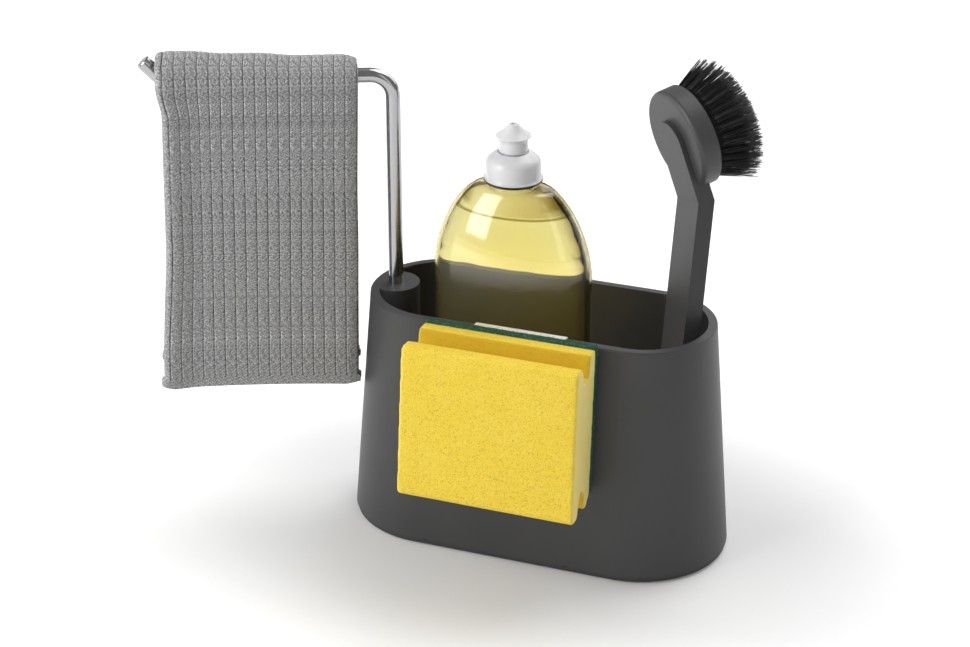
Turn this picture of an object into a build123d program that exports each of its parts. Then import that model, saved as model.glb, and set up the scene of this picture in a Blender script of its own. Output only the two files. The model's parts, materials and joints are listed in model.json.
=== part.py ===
from build123d import *
import math
import os

# Kitchen sink caddy: a drafted tub that holds a soap bottle and a dish brush, with a swivelling
# towel rod at its left end and a sponge hooked over its front wall.
# Lengths are in millimetres. +X runs along the tub to the brush end, -Y is the sponge side, +Z is up.
# The origin is the centre of the underside, on the counter.

# Tub: stadium plan, walls that lean in towards the rim
tub_height = 134.0
tub_straight_half = 57.0
tub_rim_radius = 39.7
tub_base_radius = 50.4
tub_wall = 4.8
tub_floor_thickness = 2.5
tub_skirt_depth = 2.4
tub_rim_edge = 0.7

# Base tray and non-slip pad under the tub
pad_thickness = 1.2
pad_inset = 2.6
tray_thickness = 2.4
tray_inset = 0.9
tray_rib_height = 2.1
tray_rib_thickness = 2.0
part_gap = 0.2
notch_width = 2.6
notch_height = 1.0
notch_spacing = 81.0
notch_middle_x = -8.5

# Rod column at the left end of the tub
rod_axis_x = -84.7
boss_radius = 13.0
boss_top_wall = 3.0
boss_web_width = 16.0
sleeve_outer_radius = 6.5
sleeve_end_height = 24.0
thrust_pad_thickness = 1.6
thrust_post_radius = 5.5
thrust_post_rise = 5.5

# Towel rod
rod_radius = 4.0
rod_running_gap = 0.05
rod_arm_height = 254.6
rod_arm_turn = 23.7
rod_bend_radius = 12.0
rod_tip_gap = 2.9
rod_tip_bend_radius = 8.0
rod_tip_angle = 47.0
rod_tip_length = 14.2
rod_end_chamfer = 0.5
ring_groove_radius = 3.3
ring_thickness = 1.0
ring_radius = 5.7
ring_height = 3.0
ring_mouth = 4.6

# Cloth, folded to a strip and hung over the rod
cloth_start = 20.5
cloth_width = 97.8
cloth_thickness = 9.0
cloth_rod_gap = 0.3
cloth_front_bottom = 76.0
cloth_back_bottom = 85.0
cloth_rib_pitch = 6.1
cloth_rib_gap = 0.9
cloth_rib_height = 0.6
cloth_hem_extra = 0.5
cloth_fold_depth = 2.6
cloth_fold_gap = 0.5
cloth_layers = 4

# Clip that hooks over the front rim
clip_width = 51.0
clip_middle_x = 0.7
clip_thickness = 0.7
clip_gap = 0.1
clip_outer_drop = 42.0
clip_inner_drop = 15.0
grip_pad_width = 40.0
grip_pad_height = 30.0
grip_pad_thickness = 1.7
grip_pad_drop = 8.0

# Sponge on the front wall
sponge_length = 95.5
sponge_middle_x = -1.7
sponge_top = 1.9
sponge_height = 88.0
scourer_thickness = 5.0
foam_depth = 30.6
groove_depth = 12.0
groove_round = 1.4
foam_front_round = 3.4
foam_heel_chamfer = 5.0
ridge_share = 0.27
groove_back_share = 0.35
groove_front_share = 0.56
front_block_share = 0.71

# Bottle
bottle_x = -16.7
bottle_half_length = 43.5
bottle_half_depth = 27.0
bottle_wall = 1.1
bottle_shoulder_height = 125.5
bottle_dome_height = 67.0
bottle_heel_height = 7.0
bottle_heel_share = 0.93
bottle_neck_radius = 12.2
bottle_neck_bore = 9.6
bottle_neck_length = 10.6
bottle_flange_radius = 15.8
bottle_flange_thickness = 1.1
bottle_flange_rise = 1.4
soap_height = 181.0
soap_gap = 0.15
dome_height_shares = (0.0, 0.24, 0.46, 0.66, 0.81, 0.91, 1.0)
dome_size_shares = (1.0, 0.985, 0.925, 0.82, 0.70, 0.59, 0.46)

# Screw cap, seal and push-pull spout
cap_radius = 14.8
cap_wall = 1.6
cap_skirt_height = 9.6
cap_top_rise = 5.2
cap_top_radius = 8.9
cap_gap = 0.35
cap_floor_gap = 0.5
seal_thickness = 1.2
post_radius = 5.0
post_bore = 3.4
post_height = 9.0
post_window_height = 2.4
post_pin_radius = 1.3
post_pin_height = 8.1
spout_neck_radius = 7.7
spout_neck_height = 6.8
spout_flange_radius = 9.2
spout_flange_height = 2.0
spout_cone_height = 8.6
spout_tip_radius = 2.1
spout_hole_radius = 1.36
spout_running_gap = 0.05
spout_roof = 1.6

# Dish brush, leaning back over the rim in the right end of the tub
brush_bend = (73.5, 36.7, 192.0)
brush_lean = 17.5
brush_lean_heading = 92.0
brush_heading = 42.2
neck_angle = 25.6
handle_width = 24.4
handle_thickness = 9.5
handle_foot_gap = 0.3
handle_foot_round = 5.0
neck_length = 33.8
drum_radius = 27.8
drum_thickness = 11.8
drum_edge = 2.6
drum_lip = 0.8
tongue_rise = 3.1
plate_radius = 25.0
plate_thickness = 3.0
plate_gap = 0.1
tuft_slice = 1.0

# Bristle field
strand_count = 380
strand_first_share = 0.5
strand_size = 0.62
strand_foot_radius = 23.0
strand_tip_radius = 34.2
strand_middle_length = 32.2
strand_edge_length = 20.7
strand_sides = 3
golden_angle = 137.508

# Sizes that follow from the ones above
overrun = tub_wall
draft_angle = math.degrees(math.atan((tub_base_radius - tub_rim_radius) / tub_height))
draft_sin = math.sin(math.radians(draft_angle))
draft_cos = math.cos(math.radians(draft_angle))
tray_top = pad_thickness + tray_thickness
floor_bottom = tray_top + tub_skirt_depth
floor_top = floor_bottom + tub_floor_thickness
thrust_top = floor_top + thrust_post_rise
rod_foot = thrust_top + thrust_pad_thickness + part_gap
bottle_base = floor_top
shoulder_z = bottle_base + bottle_shoulder_height
dome_top = shoulder_z + bottle_dome_height
neck_top = dome_top + bottle_neck_length
flange_top = dome_top + bottle_flange_rise + bottle_flange_thickness
cap_bottom = flange_top + cap_floor_gap
seal_top = neck_top + seal_thickness
cap_shoulder = cap_bottom + cap_skirt_height
cap_top = cap_shoulder + cap_top_rise
cloth_inner_radius = rod_radius + cloth_rod_gap
rod_tip_start = cloth_start + cloth_width + rod_tip_gap
sponge_back = clip_gap + clip_thickness + clip_gap + grip_pad_thickness
foam_back = sponge_back + scourer_thickness


def wall_radius(height):
    """Outer end radius of the tub at a height above the counter."""
    return tub_base_radius - (tub_base_radius - tub_rim_radius) * height / tub_height


def stadium(radius):
    """Stadium outline on the tub's own centres."""
    return SlotCenterToCenter(2 * tub_straight_half, 2 * radius)


def drafted_block(bottom, top, inset):
    """Block that follows the tub's lean, drawn in by inset all round."""
    outline = Pos(0, 0, bottom) * stadium(wall_radius(bottom) - inset)
    return extrude(outline, amount=top - bottom, taper=draft_angle)


def round_bar(radius, bottom, top):
    """Upright cylinder on the rod's axis."""
    return Pos(rod_axis_x, 0, bottom) * extrude(Circle(radius), amount=top - bottom)


def notch_places():
    """Places along X of the two snap windows in the tub's lower edge."""
    return [notch_middle_x - notch_spacing / 2, notch_middle_x + notch_spacing / 2]


def notch_block(width, height):
    """Bars through the lower edge, front and back, where the base tray snaps in."""
    reach = 2 * tub_base_radius
    bars = Part()
    for place in notch_places():
        bars += Pos(place, 0, tray_top + height / 2) * Box(width, reach, height)
    return bars


def make_tub():
    """Tub with its floor, the hollow rod column and the skirt that the tray closes."""
    shell = drafted_block(tray_top, tub_height, 0)
    rim_edges = shell.faces().sort_by(Axis.Z)[-1].edges()
    shell = chamfer(rim_edges, tub_rim_edge)
    column = round_bar(boss_radius, floor_top, tub_height)
    web_length = wall_radius(0) + tub_straight_half + rod_axis_x
    web = Pos(rod_axis_x - web_length / 2, 0, (floor_top + tub_height) / 2) * Box(
        web_length, boss_web_width, tub_height - floor_top
    )
    cavity = drafted_block(floor_top, tub_height + overrun, tub_wall)
    skirt_room = drafted_block(tray_top - overrun, floor_bottom, tub_wall / 2)
    body = (shell - cavity - skirt_room) + ((column + web) & shell)
    sleeve_room = round_bar(sleeve_outer_radius + part_gap, 0, tub_height - boss_top_wall)
    rod_hole = round_bar(rod_radius + rod_running_gap, 0, tub_height + overrun)
    windows = notch_block(notch_width, notch_height)
    body = body - sleeve_room - rod_hole - windows
    return body


def make_base_tray():
    """Snap-in base: a plate, a rib inside the skirt, snap tabs and the rod's thrust post."""
    plate = drafted_block(pad_thickness, tray_top - part_gap, tray_inset)
    rib_top = tray_top + tray_rib_height
    rib = drafted_block(tray_top - part_gap, rib_top, tub_wall / 2 + part_gap)
    rib_hole = drafted_block(tray_top - part_gap, rib_top, tub_wall / 2 + part_gap + tray_rib_thickness)
    tabs = notch_block(notch_width - 2 * part_gap, notch_height - part_gap)
    tabs_form = drafted_block(tray_top - part_gap, tray_top + notch_height, tray_inset)
    post = round_bar(thrust_post_radius, tray_top - part_gap, thrust_top)
    return plate + (rib - rib_hole) + (tabs & (tabs_form - rib_hole)) + post


def make_foot_pad():
    """Non-slip pad stuck under the tray; its underside is what the caddy stands on."""
    radius = wall_radius(0) - tray_inset - pad_inset
    return extrude(stadium(radius), amount=pad_thickness)


def make_rod_sleeve():
    """Bearing sleeve pressed up into the rod column from below."""
    sleeve = round_bar(sleeve_outer_radius, sleeve_end_height, tub_height - boss_top_wall)
    return sleeve - round_bar(rod_radius + rod_running_gap, 0, tub_height)


def make_thrust_pad():
    """Wear pad on the post, under the foot of the rod."""
    return round_bar(thrust_post_radius, thrust_top, thrust_top + thrust_pad_thickness)


def arm_frame():
    """Place on the rod's axis, with +X out along the arm and +Y to the cloth's front."""
    return Pos(rod_axis_x, 0, 0) * Rot(0, 0, 180 + rod_arm_turn)


def make_towel_rod():
    """Round bar: upright, bent out into the arm, with a tip that turns up."""
    tip_rise = rod_tip_length * math.sin(math.radians(rod_tip_angle))
    tip_run = rod_tip_length * math.cos(math.radians(rod_tip_angle))
    path = FilletPolyline(
        (0, 0, rod_foot),
        (0, 0, rod_arm_height),
        (rod_tip_start, 0, rod_arm_height),
        (rod_tip_start + tip_run, 0, rod_arm_height + tip_rise),
        radius=[rod_bend_radius, rod_tip_bend_radius],
    )
    bar = sweep(Pos(0, 0, rod_foot) * Circle(rod_radius), path=path)
    ends = bar.faces().filter_by(GeomType.PLANE)
    bar = chamfer(ends.edges(), rod_end_chamfer)
    groove_low = rod_foot + ring_height
    groove_blank = Pos(0, 0, groove_low) * extrude(Circle(sleeve_outer_radius), amount=ring_thickness)
    groove_core = Pos(0, 0, groove_low) * extrude(Circle(ring_groove_radius), amount=ring_thickness)
    bar -= groove_blank - groove_core
    return arm_frame() * bar


def make_retaining_ring():
    """Open spring clip in the rod's groove, below the sleeve; it stops the rod lifting out."""
    low = rod_foot + ring_height + part_gap / 2
    thickness = ring_thickness - part_gap
    ring = extrude(Circle(ring_radius), amount=thickness)
    ring -= extrude(Circle(ring_groove_radius + part_gap / 2), amount=thickness)
    mouth = Pos(ring_radius / 2, 0, thickness / 2) * Box(ring_radius, ring_mouth, thickness)
    return arm_frame() * (Pos(0, 0, low) * (ring - mouth))


def cloth_band(inner, outer, trim):
    """Section of the hanging cloth between two radii about the rod, as a face across the arm."""
    front_low = cloth_front_bottom + trim
    back_low = cloth_back_bottom + trim
    crown = rod_arm_height + outer
    over = ThreePointArc((0, -outer, rod_arm_height), (0, 0, crown), (0, outer, rod_arm_height))
    front = Polyline(
        (0, outer, rod_arm_height),
        (0, outer, front_low),
        (0, inner, front_low),
        (0, inner, rod_arm_height),
    )
    hollow = rod_arm_height + inner
    under = ThreePointArc((0, inner, rod_arm_height), (0, 0, hollow), (0, -inner, rod_arm_height))
    back = Polyline(
        (0, -inner, rod_arm_height),
        (0, -inner, back_low),
        (0, -outer, back_low),
        (0, -outer, rod_arm_height),
    )
    return make_face([over, front, under, back])


def along_arm(face, start, length):
    """Cloth section carried along the arm."""
    return Pos(start, 0, 0) * extrude(face, amount=length, dir=(1, 0, 0))


def hem_roll(side, bottom):
    """Rolled hem along the lower edge of one panel."""
    radius = cloth_thickness / 2 + cloth_hem_extra
    roll = Plane.YZ * extrude(Circle(radius), amount=cloth_width)
    return Pos(cloth_start, side * (cloth_inner_radius + radius), bottom + radius) * roll


def make_cloth():
    """Cloth folded to four layers: ribbed outside, rolled hems, and the folds open at its edges."""
    outer = cloth_inner_radius + cloth_thickness
    valley = outer - cloth_rib_height
    lift = cloth_thickness / 2
    body = along_arm(cloth_band(cloth_inner_radius, valley, lift), cloth_start, cloth_width)
    body += hem_roll(1, cloth_front_bottom)
    body += hem_roll(-1, cloth_back_bottom)
    count = round(cloth_width / cloth_rib_pitch)
    pitch = cloth_width / count
    rib_face = cloth_band(valley - cloth_rib_height, outer, lift)
    ribs = []
    for index in range(count):
        start = cloth_start + index * pitch + cloth_rib_gap / 2
        ribs.append(along_arm(rib_face, start, pitch - cloth_rib_gap))
    body += ribs
    layer = cloth_thickness / cloth_layers
    for index in range(1, cloth_layers):
        middle = cloth_inner_radius + index * layer
        slit = cloth_band(middle - cloth_fold_gap / 2, middle + cloth_fold_gap / 2, lift)
        body -= along_arm(slit, cloth_start, cloth_fold_depth)
        body -= along_arm(slit, cloth_start + cloth_width - cloth_fold_depth, cloth_fold_depth)
    return arm_frame() * body


def wall_point(depth, up):
    """Point beside the front wall: depth out from it and up along it, from the rim's outer edge."""
    y = -tub_rim_radius - depth * draft_cos + up * draft_sin
    z = tub_height + depth * draft_sin + up * draft_cos
    return (0, y, z)


def wall_prism(points, width, middle):
    """Section drawn beside the front wall, carried along X by width."""
    outline = Polyline([wall_point(depth, up) for depth, up in points], close=True)
    prism = extrude(make_face(outline), amount=width, dir=(1, 0, 0))
    return Pos(middle - width / 2, 0, 0) * prism


def make_sponge_clip():
    """Thin strip hooked over the rim, with a long outer leg and a short inner one."""
    inside = -tub_wall * draft_cos - clip_gap
    over = tub_wall * draft_sin + clip_gap
    outside = clip_gap
    points = [
        (outside + clip_thickness, -clip_outer_drop),
        (outside + clip_thickness, over + clip_thickness),
        (inside - clip_thickness, over + clip_thickness),
        (inside - clip_thickness, -clip_inner_drop),
        (inside, -clip_inner_drop),
        (inside, over),
        (outside, over),
        (outside, -clip_outer_drop),
    ]
    clip = wall_prism(points, clip_width, clip_middle_x)
    corners = clip.edges().filter_by(Axis.X).sort_by(Axis.Z)[-2:]
    return fillet(corners, clip_thickness / 2)


def make_grip_pad():
    """Hook-tape pad on the clip's outer leg that holds the scourer's fibres."""
    near = clip_gap + clip_thickness
    far = near + grip_pad_thickness
    low = -grip_pad_drop - grip_pad_height
    points = [(near, low), (far, low), (far, -grip_pad_drop), (near, -grip_pad_drop)]
    return wall_prism(points, grip_pad_width, clip_middle_x)


def make_scourer():
    """Scouring layer on the back of the sponge, beside the clip."""
    low = sponge_top - sponge_height + foam_heel_chamfer
    points = [(sponge_back, low), (foam_back, low), (foam_back, sponge_top), (sponge_back, sponge_top)]
    return wall_prism(points, sponge_length, sponge_middle_x)


def foam_depth_at(share):
    """Distance from the wall of a share of the foam's depth."""
    return foam_back + foam_depth * share


def make_foam():
    """Foam block with a finger groove along its top and its bottom."""
    top = sponge_top
    bottom = sponge_top - sponge_height
    front = foam_back + foam_depth
    points = [
        (foam_back, bottom + foam_heel_chamfer),
        (foam_back, top),
        (foam_depth_at(ridge_share), top),
        (foam_depth_at(groove_back_share), top - groove_depth),
        (foam_depth_at(groove_front_share), top - groove_depth),
        (foam_depth_at(front_block_share), top),
        (front, top),
        (front, bottom),
        (foam_depth_at(front_block_share), bottom),
        (foam_depth_at(groove_front_share), bottom + groove_depth),
        (foam_depth_at(groove_back_share), bottom + groove_depth),
        (foam_depth_at(ridge_share), bottom),
        (foam_back + foam_heel_chamfer, bottom),
    ]
    block = wall_prism(points, sponge_length, sponge_middle_x)
    by_depth = block.edges().filter_by(Axis.X).sort_by(Axis.Y)
    block = fillet(by_depth[:2], foam_front_round)
    by_depth = block.edges().filter_by(Axis.X).sort_by(Axis.Y)
    groove_edges = by_depth[4:12]
    return fillet(groove_edges, groove_round)


def oval(half_length, half_depth, height):
    """Level ellipse on the bottle's axis."""
    return Pos(bottle_x, 0, height) * Ellipse(half_length, half_depth)


def bottle_form(inset):
    """Oval bottle body up to the neck, drawn in by inset."""
    length = bottle_half_length - inset
    depth = bottle_half_depth - inset
    heel = bottle_heel_share
    low = bottle_base + inset
    foot = loft([oval(length * heel, depth * heel, low), oval(length, depth, low + bottle_heel_height)])
    straight = shoulder_z - low - bottle_heel_height
    side = extrude(oval(length, depth, low + bottle_heel_height), amount=straight)
    sections = []
    for rise, size in zip(dome_height_shares, dome_size_shares):
        height = shoulder_z + (bottle_dome_height - inset) * rise
        sections.append(oval(length * size, depth * size, height))
    return foot + side + loft(sections)


def bottle_bar(radius, bottom, top):
    """Upright cylinder on the bottle's axis."""
    return Pos(bottle_x, 0, bottom) * extrude(Circle(radius), amount=top - bottom)


def make_bottle():
    """Clear oval bottle with its neck and the flange under the cap."""
    neck = bottle_bar(bottle_neck_radius, dome_top - bottle_flange_rise, neck_top)
    flange = bottle_bar(bottle_flange_radius, flange_top - bottle_flange_thickness, flange_top)
    bore = bottle_bar(bottle_neck_bore, dome_top - 2 * bottle_flange_rise, neck_top)
    return bottle_form(0) + neck + flange - bottle_form(bottle_wall) - bore


def make_soap():
    """Dish soap that fills the bottle to below the neck."""
    inside = bottle_form(bottle_wall + soap_gap)
    soap_top = bottle_base + soap_height
    room = bottle_bar(2 * bottle_half_length, bottle_base, soap_top)
    return inside & room


def turned(points):
    """Solid turned about the bottle's axis from an outline of (radius, height) points."""
    outline = Polyline([(radius, 0, height) for radius, height in points], close=True)
    return Pos(bottle_x, 0, 0) * revolve(make_face(outline), axis=Axis.Z)


def make_seal():
    """Sealing washer between the neck and the cap."""
    washer = bottle_bar(bottle_neck_radius - cap_gap, neck_top, seal_top)
    return washer - bottle_bar(bottle_neck_bore, neck_top, seal_top)


def make_cap():
    """Screw cap: skirt, sloping shoulder and the post that the spout slides on."""
    post_top = cap_top + post_height
    pin_top = post_top + post_pin_height
    points = [
        (bottle_neck_radius + cap_gap, cap_bottom),
        (cap_radius, cap_bottom),
        (cap_radius, cap_shoulder),
        (cap_top_radius, cap_top),
        (post_radius, cap_top),
        (post_radius, post_top),
        (post_pin_radius, post_top),
        (post_pin_radius, pin_top),
        (0, pin_top),
        (0, post_top - cap_wall),
        (post_bore, post_top - cap_wall),
        (post_bore, seal_top),
        (bottle_neck_radius + cap_gap, seal_top),
    ]
    cap = turned(points)
    window_z = post_top - cap_wall - post_window_height / 2
    window = Pos(bottle_x, 0, window_z) * Box(2 * cap_radius, post_bore, post_window_height)
    cap -= window
    shoulder = cap.edges().filter_by(GeomType.CIRCLE)
    outer = shoulder.filter_by(lambda edge: abs(edge.radius - cap_radius) < part_gap)
    return fillet(outer.sort_by(Axis.Z)[-1], cap_wall)


def make_spout():
    """Push-pull spout: sleeve, flange and cone with the outlet in its tip."""
    bottom = cap_top + part_gap
    flange = bottom + spout_neck_height
    cone = flange + spout_flange_height
    tip = cone + spout_cone_height
    roof = cap_top + post_height + spout_roof
    points = [
        (post_radius + spout_running_gap, bottom),
        (spout_neck_radius, bottom),
        (spout_neck_radius, flange),
        (spout_flange_radius, cone),
        (spout_tip_radius, tip),
        (spout_hole_radius, tip),
        (spout_hole_radius, roof),
        (post_radius + spout_running_gap, roof - spout_roof + part_gap),
    ]
    return turned(points)


def brush_frame():
    """Place at the brush's bend: +Z up the leaning handle, +X to the bristle side."""
    heading = Rot(0, 0, brush_lean_heading) * Rot(0, brush_lean, 0)
    return Pos(*brush_bend) * heading * Rot(0, 0, brush_heading - brush_lean_heading)


def head_frame():
    """Place on the head's axis, tipped back with the neck: +Z to the bristles, +X down the neck."""
    return brush_frame() * Rot(0, -neck_angle, 0) * Pos(0, 0, neck_length) * Rot(0, 90, 0)


def head_disc(radius, start, thickness):
    """Disc on the brush head's axis, in the head's frame."""
    return Pos(0, 0, start) * extrude(Circle(radius), amount=thickness)


def handle_length():
    """Length from the bend to the foot, so that the rounded foot's low corner clears the floor."""
    lean = math.radians(brush_lean)
    turn = math.radians(brush_heading - brush_lean_heading)
    flat_width = handle_width / 2 - handle_foot_round
    across = (flat_width * abs(math.sin(turn)) + handle_thickness / 2 * abs(math.cos(turn))) * math.sin(lean)
    rounded = handle_foot_round * math.hypot(math.cos(lean), math.sin(lean) * math.sin(turn))
    drop = brush_bend[2] - floor_top - handle_foot_gap - across - rounded
    return drop / math.cos(lean) + handle_foot_round


def make_handle_bar():
    """Handle and neck: a flat bar with its crank, in the frame of the bend."""
    length = handle_length()
    half = handle_thickness / 2
    mitre = half * math.tan(math.radians(neck_angle / 2))
    back = math.radians(neck_angle)
    end_x = -neck_length * math.sin(back)
    end_z = neck_length * math.cos(back)
    side_x = half * math.cos(back)
    side_z = half * math.sin(back)
    side = Polyline(
        (-half, 0, -length),
        (-half, 0, -mitre),
        (end_x - side_x, 0, end_z - side_z),
        (end_x + side_x, 0, end_z + side_z),
        (half, 0, mitre),
        (half, 0, -length),
        close=True,
    )
    bar = extrude(make_face(side), amount=handle_width / 2, dir=(0, 1, 0), both=True)
    foot_edges = bar.faces().sort_by(Axis.Z)[0].edges().filter_by(Axis.X)
    return fillet(foot_edges, handle_foot_round)


def make_drum():
    """Bristle drum with the round end of the tongue that stands proud of its back."""
    half = handle_thickness / 2
    drum = head_disc(drum_radius, tongue_rise - half, drum_thickness)
    back_edge = drum.edges().filter_by(GeomType.CIRCLE).sort_by(Axis.Z)[0]
    drum = fillet(back_edge, drum_edge)
    lip_edge = drum.edges().filter_by(GeomType.CIRCLE).sort_by(Axis.Z)[-1]
    drum = chamfer(lip_edge, drum_lip)
    return drum + head_disc(handle_width / 2, -half, handle_thickness)


def make_brush_handle():
    """Handle, cranked neck and bristle drum, moulded in one."""
    recess_depth = plate_thickness + tuft_slice
    drum_front = tongue_rise - handle_thickness / 2 + drum_thickness
    recess = head_disc(plate_radius + plate_gap, drum_front - recess_depth, recess_depth)
    return brush_frame() * make_handle_bar() + head_frame() * make_drum() - head_frame() * recess


def make_tuft_plate():
    """Disc pressed into the drum that carries the bristles."""
    start = tongue_rise - handle_thickness / 2 + drum_thickness - plate_thickness - tuft_slice
    return head_frame() * head_disc(plate_radius, start, plate_thickness)


def strand(index, foot_height):
    """One bristle: a three-sided bar that leans out from its foot to its tip."""
    share = math.sqrt((index + strand_first_share) / strand_count)
    turn = math.radians(index * golden_angle)
    foot = strand_foot_radius * share
    spread = (strand_tip_radius - strand_foot_radius) * share
    length = strand_middle_length - (strand_middle_length - strand_edge_length) * share * share
    section = Pos(foot * math.cos(turn), foot * math.sin(turn), foot_height) * RegularPolygon(
        strand_size, strand_sides
    )
    lean = Vector(spread * math.cos(turn), spread * math.sin(turn), length)
    return Solid.extrude(section.face(), lean)


def make_bristles():
    """Field of splayed bristles with a domed end, on the top slice of their plate."""
    start = tongue_rise - handle_thickness / 2 + drum_thickness - tuft_slice
    backing = head_disc(plate_radius, start, tuft_slice)
    strands = [strand(index, start + tuft_slice / 2) for index in range(strand_count)]
    return head_frame() * backing.fuse(*strands)


def main():
    """Write every piece of the caddy to its own file."""
    os.makedirs("parts", exist_ok=True)
    pieces = {
        "tub": make_tub(),
        "base_tray": make_base_tray(),
        "foot_pad": make_foot_pad(),
        "rod_sleeve": make_rod_sleeve(),
        "thrust_pad": make_thrust_pad(),
        "sponge_clip": make_sponge_clip(),
        "clip_grip_pad": make_grip_pad(),
        "towel_rod": make_towel_rod(),
        "rod_retaining_ring": make_retaining_ring(),
        "cloth": make_cloth(),
        "sponge_foam": make_foam(),
        "sponge_scourer": make_scourer(),
        "brush_handle": make_brush_handle(),
        "tuft_plate": make_tuft_plate(),
        "brush_bristles": make_bristles(),
        "bottle_shell": make_bottle(),
        "dish_soap": make_soap(),
        "cap_seal": make_seal(),
        "bottle_cap": make_cap(),
        "spout": make_spout(),
    }
    for name, shape in pieces.items():
        export_step(shape, "parts/" + name + ".step")


main()
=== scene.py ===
"""Looks of a kitchen sink caddy with its towel rod, cloth, sponge, soap bottle and dish brush."""

import json
import logging
import math
import random
from dataclasses import dataclass, field
from enum import Enum
from typing import Any, Sequence

import bpy
from mathutils import Matrix, Vector, noise

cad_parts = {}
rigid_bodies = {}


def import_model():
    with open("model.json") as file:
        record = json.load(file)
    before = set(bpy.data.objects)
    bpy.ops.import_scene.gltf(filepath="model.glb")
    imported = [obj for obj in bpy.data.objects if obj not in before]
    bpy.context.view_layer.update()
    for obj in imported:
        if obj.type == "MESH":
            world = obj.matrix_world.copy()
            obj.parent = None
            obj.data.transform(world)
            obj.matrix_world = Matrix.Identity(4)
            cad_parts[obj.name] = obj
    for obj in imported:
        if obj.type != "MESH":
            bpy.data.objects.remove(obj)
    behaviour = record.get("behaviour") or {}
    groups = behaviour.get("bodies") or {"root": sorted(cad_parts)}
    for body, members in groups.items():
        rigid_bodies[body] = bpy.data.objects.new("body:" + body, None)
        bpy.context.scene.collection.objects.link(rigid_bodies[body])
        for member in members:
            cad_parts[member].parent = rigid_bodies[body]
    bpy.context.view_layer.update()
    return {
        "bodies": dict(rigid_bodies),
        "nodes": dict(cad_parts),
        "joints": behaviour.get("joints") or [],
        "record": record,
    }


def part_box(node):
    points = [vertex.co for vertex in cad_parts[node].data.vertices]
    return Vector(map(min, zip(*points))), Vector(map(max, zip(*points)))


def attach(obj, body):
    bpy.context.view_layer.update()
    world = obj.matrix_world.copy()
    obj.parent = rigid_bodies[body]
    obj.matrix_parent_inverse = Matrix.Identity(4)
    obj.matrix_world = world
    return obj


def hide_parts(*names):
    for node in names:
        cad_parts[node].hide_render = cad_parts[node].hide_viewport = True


log = logging.getLogger("caddy")

Colour = tuple[float, float, float]
Triple = tuple[float, float, float]
Span = tuple[float, float]
MM = 0.001
ARM_TURN = math.radians(23.7)
BOTTLE_X = -16.7 * MM
ORIGIN: Triple = (0.0, 0.0, 0.0)
UNIT: Triple = (1.0, 1.0, 1.0)


# Shader maths -----------------------------------------------------------------------------------


class Value:
    """One output socket that can be used in sums."""

    def __init__(self, graph: "Graph", source: bpy.types.NodeSocket) -> None:
        """Wraps the socket.

        Args:
            graph: the node graph that new Math nodes are added to.
            source: the output socket.
        """
        self.graph = graph
        self.source = source

    def _math(self, operation: str, *others: Any) -> "Value":
        """A Math node of one operation.

        Args:
            operation: the Math node's operation.
            others: the values or numbers of the other inputs.

        Returns:
            The node's result.
        """
        inputs = dict(enumerate((self, *others)))
        return self.graph.node("ShaderNodeMath", {"operation": operation}, inputs)

    def __add__(self, other: Any) -> "Value":
        """Sum."""
        return self._math("ADD", other)

    __radd__ = __add__

    def __sub__(self, other: Any) -> "Value":
        """Difference."""
        return self._math("SUBTRACT", other)

    def __rsub__(self, other: Any) -> "Value":
        """Difference with the number first."""
        return self.graph.node("ShaderNodeMath", {"operation": "SUBTRACT"}, {0: other, 1: self})

    def __mul__(self, other: Any) -> "Value":
        """Product."""
        return self._math("MULTIPLY", other)

    __rmul__ = __mul__

    def __truediv__(self, other: Any) -> "Value":
        """Quotient."""
        return self._math("DIVIDE", other)

    def __abs__(self) -> "Value":
        """Size without its sign."""
        return self._math("ABSOLUTE")

    def at_most(self, other: Any) -> "Value":
        """The smaller of two."""
        return self._math("MINIMUM", other)

    def at_least(self, other: Any) -> "Value":
        """The larger of two."""
        return self._math("MAXIMUM", other)

    def above(self, other: Any) -> "Value":
        """One where this is more than the other, else zero."""
        return self._math("GREATER_THAN", other)

    def between(self, low: float, high: float) -> "Value":
        """Smooth step from zero at low to one at high.

        Args:
            low: where the step starts.
            high: where it ends.

        Returns:
            A value from zero to one.
        """
        return self.graph.node(
            "ShaderNodeMapRange",
            {"interpolation_type": "SMOOTHSTEP", "clamp": True},
            {"Value": self, "From Min": low, "From Max": high},
        )


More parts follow.
